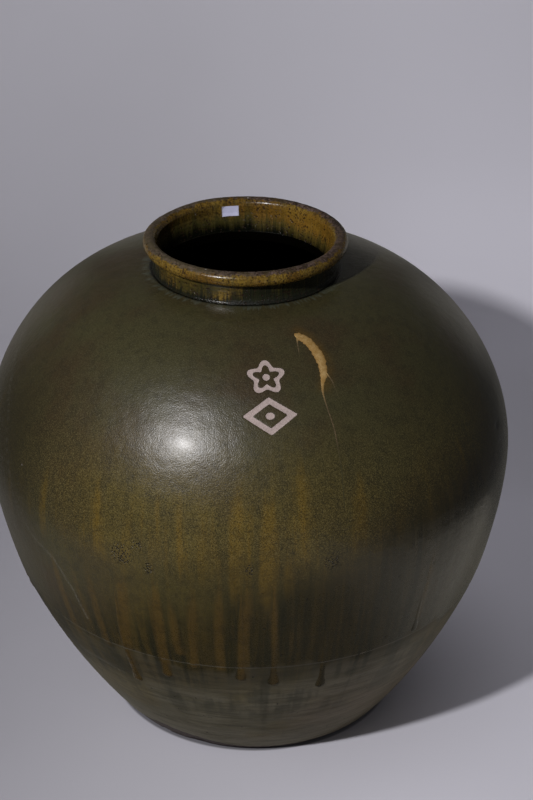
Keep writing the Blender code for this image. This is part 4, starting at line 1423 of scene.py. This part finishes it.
class JAR_OT_walls(bpy.types.Operator):
    """Throw the three sections of the wall, which meet at the lower seam and the hidden upper joint"""

    bl_idname = "jar.walls"
    bl_label = "Walls"

    def execute(self, context):
        form, glaze, profile = jar(context)
        sections = {
            "lower_wall": self.band(form, profile, form.slab_thickness, form.seam_height, 0.0017),
            "belly_wall": self.band(form, profile, form.seam_height, form.upper_joint_height, 0.0020),
            "shoulder_dome": self.dome(form, profile),
        }
        for name, (heights, rest) in sections.items():
            shape = section(form, profile, heights, rest)
            make_piece(name, *shape, made(TeaDust, form, glaze), "body_glaze", [name])
        return {"FINISHED"}

    def wall_at(self, profile, height):
        """Outer and inner radius of the wall at a height."""
        return profile.radius(height), profile.inner_radius(height)

    def band(self, form, profile, low, high, widest):
        """Outer heights, and the rest of the outline, of a section between two joints. Its stations
        are `widest` apart at most and close at the joints."""
        gap = form.slip_gap
        ends = [float(profile.length_at(low)), float(profile.length_at(high))]
        heights = profile.height_at(spread(*ends, widest, ends, *JOINT_SPACING))
        heights[[0, -1]] = low, high
        upper = groove(form, self.wall_at(profile, high), high)
        inner = inner_stations(profile, low + gap / 2, high - gap / 2, 26)
        return heights, np.vstack([upper, inner, tongue(form, self.wall_at(profile, low), low)])

    def dome(self, form, profile):
        """Outer heights, and the rest of the outline, of the shoulder up to the neck's opening. Its
        stations are close at the joint and over the ornament."""
        low, high, gap = form.upper_joint_height, form.neck_base_height, form.slip_gap
        ends = [float(profile.length_at(low)), float(profile.length_at(high))]
        marks = float(profile.length_at(MOTIF_HEIGHT)) + np.linspace(-0.036, 0.036, 13)
        runs = spread(*ends, 0.0027, marks, 0.0011, 0.10)
        near = spread(ends[0], ends[0] + 0.006, 0.0022, ends[:1], *JOINT_SPACING)
        heights = profile.height_at(np.concatenate([near, runs[runs > near[-1] + 0.0004]]))
        heights[[0, -1]] = low, high - gap / 2
        radius, under = form.neck_bore_radius, float(profile.inner[-1, 1])
        upper = groove(form, (form.neck_base_radius, radius), high)
        bore = [(radius, high - gap / 2), (radius, under + 0.0012), (radius + 0.0005, under + 0.0003)]
        inner = inner_stations(profile, low + gap / 2, under, 30)
        return heights, np.vstack([upper, bore, inner, tongue(form, self.wall_at(profile, low), low)])


# Height of the tongue under the rolled rim, lower than the others
RIM_TONGUE = 0.0024
# The rim's dent at the left of the back: depth, angle and width in degrees
RIM_DENT = (0.0020, -118.0, 36.0)


def rim_seat(form):
    """Height at which the underside of the rolled rim meets the collar's outer face."""
    inset = form.rim_radius - form.neck_top_radius
    return form.rim_height - math.sqrt(form.roll_radius**2 - inset**2)


def bore_at(form, height):
    """Radius of the neck's bore, which flares up to the rim's seat."""
    share_up = np.clip((height - form.neck_base_height) / (rim_seat(form) - form.neck_base_height), 0.0, 1.0)
    return form.neck_bore_radius + (form.mouth_radius - form.neck_bore_radius) * share_up


class JAR_OT_neck(bpy.types.Operator):
    """Make the collar with its pooled foot and the rolled rim on top of it"""

    bl_idname = "jar.neck"
    bl_label = "Neck and rim"

    def execute(self, context):
        form, glaze, _ = jar(context)
        parts = (
            ("neck_collar", self.collar(form), made(CollarGlaze, form, glaze), "collar_glaze"),
            ("rim_roll", self.rim(form), made(RimGlaze, form, glaze), "rim_glaze"),
        )
        for name, outline, material, slot in parts:
            make_piece(name, *turned_ring(form, *outline), material, slot, [name], sharp=50.0)
        return {"FINISHED"}

    def collar(self, form):
        """Outline, lift and crest. Outside are a pool of glaze as a quarter round, a cove r = a - b sin t,
        z = c (1 - cos t) above it, and a waist that widens with the square of the climb; inside is the
        bore's flare."""
        top = rim_seat(form)
        base, bottom = form.neck_base_radius - 0.0002, form.neck_base_height + form.slip_gap / 2
        turn = np.linspace(0.0, math.pi / 2, 14)
        skirt = form.neck_base_radius + 0.0004 * np.cos(turn) - 0.0002
        pool = np.stack([skirt, bottom - 0.0003 + 0.0008 * np.sin(turn)], axis=1)
        turn = np.linspace(0.0, 1.0, 16)[1:] * math.pi / 2
        drawn_in = base - (base - form.neck_waist_radius) * np.sin(turn)
        cove = np.stack([drawn_in, bottom + 0.0005 + 0.0081 * (1.0 - np.cos(turn))], axis=1)
        climb = np.linspace(0.0, 1.0, 26)[1:]
        widened = form.neck_waist_radius + (form.neck_top_radius - form.neck_waist_radius) * climb**2
        waist = np.stack([widened, cove[-1, 1] + (top - cove[-1, 1]) * climb], axis=1)
        seat = groove(form, (form.neck_top_radius, form.mouth_radius), top, RIM_TONGUE)
        heights = np.linspace(top, bottom, 30)
        bore = np.stack([bore_at(form, heights), heights], axis=1)
        foot = tongue(form, (form.neck_base_radius, form.neck_bore_radius), form.neck_base_height)
        outline = np.vstack([pool, cove, waist, seat, bore, foot])

        face = len(pool) + len(cove) + len(waist)
        outside, inside = np.zeros((2, len(outline), 1))
        outside[1 : face - 3] = 1.0
        outside[1 : len(pool)] = 2.0
        inside[face + len(seat) : -len(foot)] = 1.0
        rings = 0.00016 * waves(neck_turns(), outline[:, 1:2], 31, 5, (0, 3), 0.006)
        sag = 0.00022 * waves(neck_turns(), outline[:, 1:2], 32, 8, (12, 46), 0.05)
        return outline, outside * (rings + sag - 0.0001) + inside * (0.5 * rings - 0.00008), 0.0

    def rim(self, form):
        """Outline, lift and crest. The roll is a circle, from the collar's outer face over the crest to
        the bore."""
        bottom = rim_seat(form)
        drop = bottom - form.rim_height
        turn = np.linspace(math.atan2(drop, -math.sqrt(form.roll_radius**2 - drop**2)), math.pi, 96)
        across, up = form.roll_radius * np.cos(turn), form.roll_radius * np.sin(turn)
        roll = np.stack([form.rim_radius + across, form.rim_height + up], axis=1)
        heights = np.linspace(form.rim_height, bottom, 10)[1:]
        bore = np.stack([np.full(len(heights), form.mouth_radius), heights], axis=1)
        foot = tongue(form, (roll[0, 0], form.mouth_radius), bottom, RIM_TONGUE)
        outline = np.vstack([roll, bore, foot])

        crest, loose = np.zeros((2, len(outline), 1))
        crest[: len(roll), 0] = np.exp(-(((np.degrees(turn) - 88.0) / 41.0) ** 4) * 0.6)
        loose[: len(roll), 0] = np.sin(np.linspace(0.0, math.pi, len(roll))) ** 0.35
        slow = 0.00032 * waves(neck_turns(), 0.0, 41, 6, (2, 9), 1.0)
        lumps = 0.00016 * waves(neck_turns(), outline[:, 1:2], 42, 8, (14, 60), 0.02)
        depth, angle, wide = RIM_DENT
        sunk = depth * bump(turn_apart(neck_turns(), angle), 0.0, wide)
        return outline, np.minimum(loose * (slow + lumps - 0.00042 - crest * 0.00035 - sunk), 0.0), crest


class JAR_OT_glaze_runs(bpy.types.Operator):
    """Lay the thick glaze runs, each a narrow stream that ends in a swollen drop"""

    bl_idname = "jar.glaze_runs"
    bl_label = "Glaze runs"

    def execute(self, context):
        form, glaze, profile = jar(context)
        for number, row in enumerate(THICK_RUNS, start=1):
            name = f"glaze_run_{number:02d}"
            run = self.run(form, profile, number, *row)
            make_piece(name, *run, made(TeaDust, form, glaze), "rust_runs", [name], sharp=60.0)
        return {"FINISHED"}

    def run(self, form, profile, number, turn_top, turn_end, top, end, size, rust):
        """One run: it widens and thickens by a bell of the way to its end, which is a round cap."""
        share_down = 1.0 - (1.0 - np.linspace(0.0, 1.0, 110)) ** 1.35
        wander = 0.35 * np.sin(share_down * 7.0 + number) * share_down * (1.0 - share_down)
        angles = turn_top + (turn_end - turn_top) * share_down + wander
        path = np.stack([angles, top + (end - top) * share_down], axis=1)
        from_end = (1.0 - share_down) * (profile.length_at(top) - profile.length_at(end))
        drop_reach = 0.0052 * size
        cap = np.sqrt(np.clip(1.0 - (1.0 - np.clip(from_end / drop_reach, 0.0, 1.0)) ** 2, 0.0, 1.0))
        swell = bump(from_end, drop_reach * 1.1, 0.010)
        fade = soft_step(share_down, 0.0, 0.45)
        widths = size * (0.0082 + 0.0044 * swell) * (0.45 + 0.55 * fade) * np.maximum(cap, 0.03)
        thicknesses = size * (0.00035 + 0.00085 * swell) * fade * np.maximum(cap, 0.02)

        def fields_of(angles, heights, across):
            fields = glaze_fields(profile, angles, heights)
            fields["run"] = np.maximum(fields["run"], rust * (0.90 - 0.5 * across**2))
            fields["wash"] = fields["wash"] * 0.25
            return fields

        return strip(form, profile, path, widths, thicknesses, 0.0005, fields_of)


# The splash on the shoulder and its tail, its side branch and a dribble: angle, height, width and body
# (1 where the glaze lies thick and 0 where it is a stain)
SPLASH_PATH = np.array(
    [
        (18.9, 0.4946, 0.0080, 0.8),
        (19.8, 0.4948, 0.0125, 1.0),
        (21.2, 0.4938, 0.0112, 1.0),
        (22.5, 0.4914, 0.0115, 1.0),
        (23.4, 0.4872, 0.0118, 1.0),
        (23.8, 0.4822, 0.0115, 1.0),
        (23.5, 0.4766, 0.0105, 1.0),
        (22.8, 0.4711, 0.0080, 0.9),
        (21.7, 0.4661, 0.0045, 0.75),
        (21.0, 0.4602, 0.0030, 0.55),
        (20.9, 0.4531, 0.0026, 0.42),
        (21.0, 0.4464, 0.0025, 0.34),
        (21.2, 0.4388, 0.0024, 0.30),
        (21.3, 0.4310, 0.0025, 0.36),
        (21.2, 0.4215, 0.0024, 0.22),
        (21.1, 0.4116, 0.0022, 0.14),
        (21.0, 0.4007, 0.0021, 0.08),
        (20.8, 0.3895, 0.0020, 0.05),
        (20.5, 0.3753, 0.0019, 0.03),
        (20.4, 0.3612, 0.0012, 0.0),
    ]
)
BRANCH_PATH = np.array(
    [
        (23.4, 0.4750, 0.0030, 0.8),
        (24.0, 0.4712, 0.0026, 0.6),
        (24.6, 0.4669, 0.0022, 0.35),
        (24.7, 0.4619, 0.0020, 0.15),
        (24.8, 0.4564, 0.0018, 0.12),
        (25.1, 0.4500, 0.0014, 0.06),
        (25.4, 0.4440, 0.0008, 0.0),
    ]
)
DRIBBLE_PATH = np.array(
    [
        (19.5, 0.4950, 0.0030, 0.8),
        (18.6, 0.4920, 0.0022, 0.45),
        (18.0, 0.4879, 0.0018, 0.25),
        (17.3, 0.4829, 0.0008, 0.05),
    ]
)


class JAR_OT_shoulder_drip(bpy.types.Operator):
    """Lay the ochre splash on the shoulder, with its long thin tail, a branch and a dribble"""

    bl_idname = "jar.shoulder_drip"
    bl_label = "Shoulder drip"

    def execute(self, context):
        form, glaze, profile = jar(context)
        parts = (
            ("shoulder_drip", SPLASH_PATH, 220, ["shoulder_drip"]),
            ("shoulder_drip_branch", BRANCH_PATH, 60, []),
            ("shoulder_drip_dribble", DRIBBLE_PATH, 40, []),
        )
        for name, table, count, replaced in parts:
            shape = self.trail(form, profile, table, count)
            make_piece(name, *shape, made(SplashGlaze, glaze), "ochre_drip", replaced, sharp=60.0)
        return {"FINISHED"}

    def trail(self, form, profile, table, count):
        """A trail along a table of places. Its width wobbles by sums of sines, and its ends are round."""
        along = np.linspace(0.0, len(table) - 1.0, count)
        smooth = self.eased(table, along)
        wobble = np.sin(along * 5.1) * np.sin(along * 2.3 + 1.0) + 0.6 * np.sin(along * 11.7)
        ends = np.sqrt(np.clip(np.minimum(along, len(table) - 1.0 - along) / 0.5, 0.0, 1.0))
        widths = smooth[:, 2] * (1.0 + 0.11 * wobble) * np.maximum(ends, 0.04)
        body = np.clip(smooth[:, 3], 0.0, 1.0)
        thicknesses = (0.00004 + 0.00046 * body**2) * np.maximum(ends, 0.03)

        def fields_of(_angles, _heights, across):
            return {"body": np.broadcast_to(body[:, None], across.shape), "side": np.abs(across)}

        return strip(form, profile, smooth[:, :2], widths, thicknesses, 0.0003, fields_of)

    @staticmethod
    def eased(table, along):
        """Catmull-Rom rows: b + t (c-a)/2 + t^2 (a - 5b/2 + 2c - d/2) + t^3 (3(b-c) + d - a)/2."""
        last = len(table) - 1
        start = np.clip(along.astype(int), 0, last - 1)
        t = (along - start)[:, None]
        a, b = table[np.maximum(start - 1, 0)], table[start]
        c, d = table[start + 1], table[np.minimum(start + 2, last)]
        return b + t * (c - a) / 2 + t * t * (a - 2.5 * b + 2 * c - d / 2) + t**3 * (3 * (b - c) + d - a) / 2


class JAR_OT_paper_label(bpy.types.Operator):
    """Stick the blank paper label inside the neck"""

    bl_idname = "jar.paper_label"
    bl_label = "Paper label"

    def execute(self, context):
        form, glaze, _ = jar(context)
        columns, rows = 48, 30
        u = np.linspace(-1.0, 1.0, columns)[:, None]
        v = np.linspace(-1.0, 1.0, rows)
        v = np.concatenate([v, v[::-1]])[None, :]
        front = np.concatenate([np.ones(rows), np.zeros(rows)])[None, :]
        heights = form.label_centre + v * form.label_height / 2
        backing = bore_at(form, heights) - form.slip_gap * 1.2
        curl = 0.0007 * soft_step(np.abs(u) * 0.5 + np.abs(v) * 0.5, 0.72, 1.0) * (u > 0)
        ripple = 0.00010 * np.sin(u * 5.0 + 1.0) * np.cos(v * 2.0)
        radius = backing - curl - ripple - front * form.label_thickness * 0.6
        angles = math.degrees(form.label_angle) + np.degrees(u * form.label_width / 2 / backing)
        grid = place(form, radius, angles, heights)
        fields = {"edge": np.maximum(np.abs(u), np.abs(v))}
        sheet = with_poles(grid, fields, grid[0].mean(axis=0), grid[-1].mean(axis=0))
        make_piece("paper_label", *sheet, made(LabelPaper, glaze), "label_paper", ["paper_label"], sharp=50.0)
        return {"FINISHED"}


class JAR_OT_stage(bpy.types.Operator):
    """Set the pale floor, the softbox, the dim room and the camera"""

    bl_idname = "jar.stage"
    bl_label = "Stage"

    def execute(self, context):
        stage = context.scene.jar_stage
        self.floor(stage)
        self.room(context.scene, stage)
        self.lamp(context.scene, stage)
        self.camera(context.scene, stage)
        context.scene.view_settings.view_transform = "Standard"
        return {"FINISHED"}

    def floor(self, stage):
        """A level disc, and behind the jar a paper sweep: a quarter round from the floor up to a wall."""
        material = made(SweepPaper, stage)
        count = 96
        turn = np.linspace(0.0, math.tau, count, endpoint=False)
        ring = np.stack([FLOOR_REACH * np.cos(turn), FLOOR_REACH * np.sin(turn), np.zeros(count)], axis=1)
        self.sheet("floor", ring, [list(range(count))], material)
        bend = np.linspace(0.0, math.pi / 2, 25)
        radius = stage.sweep_bend
        along = np.stack([stage.sweep_start + radius * np.sin(bend), radius * (1.0 - np.cos(bend))], axis=1)
        along = np.vstack([along, [stage.sweep_start + radius, stage.sweep_height]])
        across = np.array([1.0, -1.0]) * stage.sweep_width / 2
        grid = np.broadcast_arrays(across[None, :], along[:, 0:1], along[:, 1:2] + SWEEP_LIFT)
        faces = grid_faces(len(along), 2, False, False)
        self.sheet("sweep", np.stack(grid, axis=-1).reshape(-1, 3), faces[:, ::-1].tolist(), material)

    def sheet(self, name, points, faces, material):
        """A piece of the stage from points and faces."""
        mesh = bpy.data.meshes.new(name)
        mesh.from_pydata(points.tolist(), [], faces)
        mesh.shade_smooth()
        mesh.materials.append(material)
        piece = bpy.data.objects.new(name, mesh)
        bpy.context.scene.collection.objects.link(piece)

    def room(self, scene, stage):
        """A dim room; what the camera sees past the paper is the backdrop's shade."""
        world = bpy.data.worlds.new("room")
        world.use_nodes = True
        scene.world = world
        nodes = Nodes(world.node_tree)
        shade = nodes.mix(nodes.ray("Is Camera Ray"), [stage.room_light] * 3, stage.backdrop)
        background = nodes.node("ShaderNodeBackground", {}, {"Color": shade})
        nodes.node("ShaderNodeOutputWorld", {}, {"Surface": background.outputs[0]})

    def lamp(self, scene, stage):
        """A round softbox aimed at the jar's middle."""
        data = bpy.data.lights.new("softbox", "AREA")
        data.shape = "DISK"
        data.size = stage.lamp_size
        data.energy = stage.lamp_power
        data.color = stage.lamp_colour
        lamp = bpy.data.objects.new("softbox", data)
        turn, rise = stage.lamp_angle, stage.lamp_rise
        away = np.array([math.sin(turn) * math.cos(rise), -math.cos(turn) * math.cos(rise), math.sin(rise)])
        self.aim(lamp, np.array(LAMP_AIM) + away * stage.lamp_distance, -away, 0.0)
        scene.collection.objects.link(lamp)

    def camera(self, scene, stage):
        """The camera at the photograph's viewing angle."""
        data = bpy.data.cameras.new("camera")
        data.sensor_fit = "AUTO"
        data.sensor_width = SENSOR_MM
        data.lens = stage.camera_lens
        data.clip_start, data.clip_end = 0.05, 60.0
        camera = bpy.data.objects.new("camera", data)
        pitch, yaw = stage.camera_pitch, stage.camera_yaw
        look = np.array([math.sin(yaw) * math.cos(pitch), math.cos(yaw) * math.cos(pitch), -math.sin(pitch)])
        self.aim(camera, np.array(stage.camera_place), look, stage.camera_roll)
        scene.collection.objects.link(camera)
        scene.camera = camera

    @staticmethod
    def aim(item, place_at, look, roll):
        """Put an item at a place, looking along a direction, and rolled about it."""
        right = np.cross(look, [0.0, 0.0, 1.0])
        right /= np.linalg.norm(right)
        up = np.cross(right, look)
        side = math.cos(roll) * right + math.sin(roll) * up
        top = -math.sin(roll) * right + math.cos(roll) * up
        axes = np.stack([side, top, -look, place_at], axis=1)
        item.matrix_world = Matrix([*axes.tolist(), [0.0, 0.0, 0.0, 1.0]])


OPERATORS = (
    JAR_OT_foot,
    JAR_OT_walls,
    JAR_OT_neck,
    JAR_OT_glaze_runs,
    JAR_OT_shoulder_drip,
    JAR_OT_paper_label,
    JAR_OT_stage,
)


class JAR_PT_panel(bpy.types.Panel):
    """The jar's pieces, in the order in which they are made"""

    bl_label = "Stoneware Jar"
    bl_idname = "JAR_PT_panel"
    bl_space_type = "VIEW_3D"
    bl_region_type = "UI"
    bl_category = "Jar"

    def draw(self, context):
        for operator in OPERATORS:
            self.layout.operator(operator.bl_idname)
        for name in GROUPS:
            group, box = getattr(context.scene, name), self.layout.box()
            for key in group.__annotations__:
                box.prop(group, key)


GROUPS = {"jar_form": JarForm, "jar_glaze": JarGlaze, "jar_stage": JarStage}


def register():
    """Register the properties, the operators and the panel."""
    for name, group in GROUPS.items():
        bpy.utils.register_class(group)
        setattr(bpy.types.Scene, name, bpy.props.PointerProperty(type=group))
    for item in (*OPERATORS, JAR_PT_panel):
        bpy.utils.register_class(item)


def unregister():
    """Undo register, in the opposite order."""
    for item in reversed((*OPERATORS, JAR_PT_panel)):
        bpy.utils.unregister_class(item)
    for name, group in reversed(list(GROUPS.items())):
        delattr(bpy.types.Scene, name)
        bpy.utils.unregister_class(group)


def main():
    """Make every piece."""
    register()
    for operator in OPERATORS:
        group, call = operator.bl_idname.split(".")
        getattr(getattr(bpy.ops, group), call)()


if __name__ == "__main__":
    main()
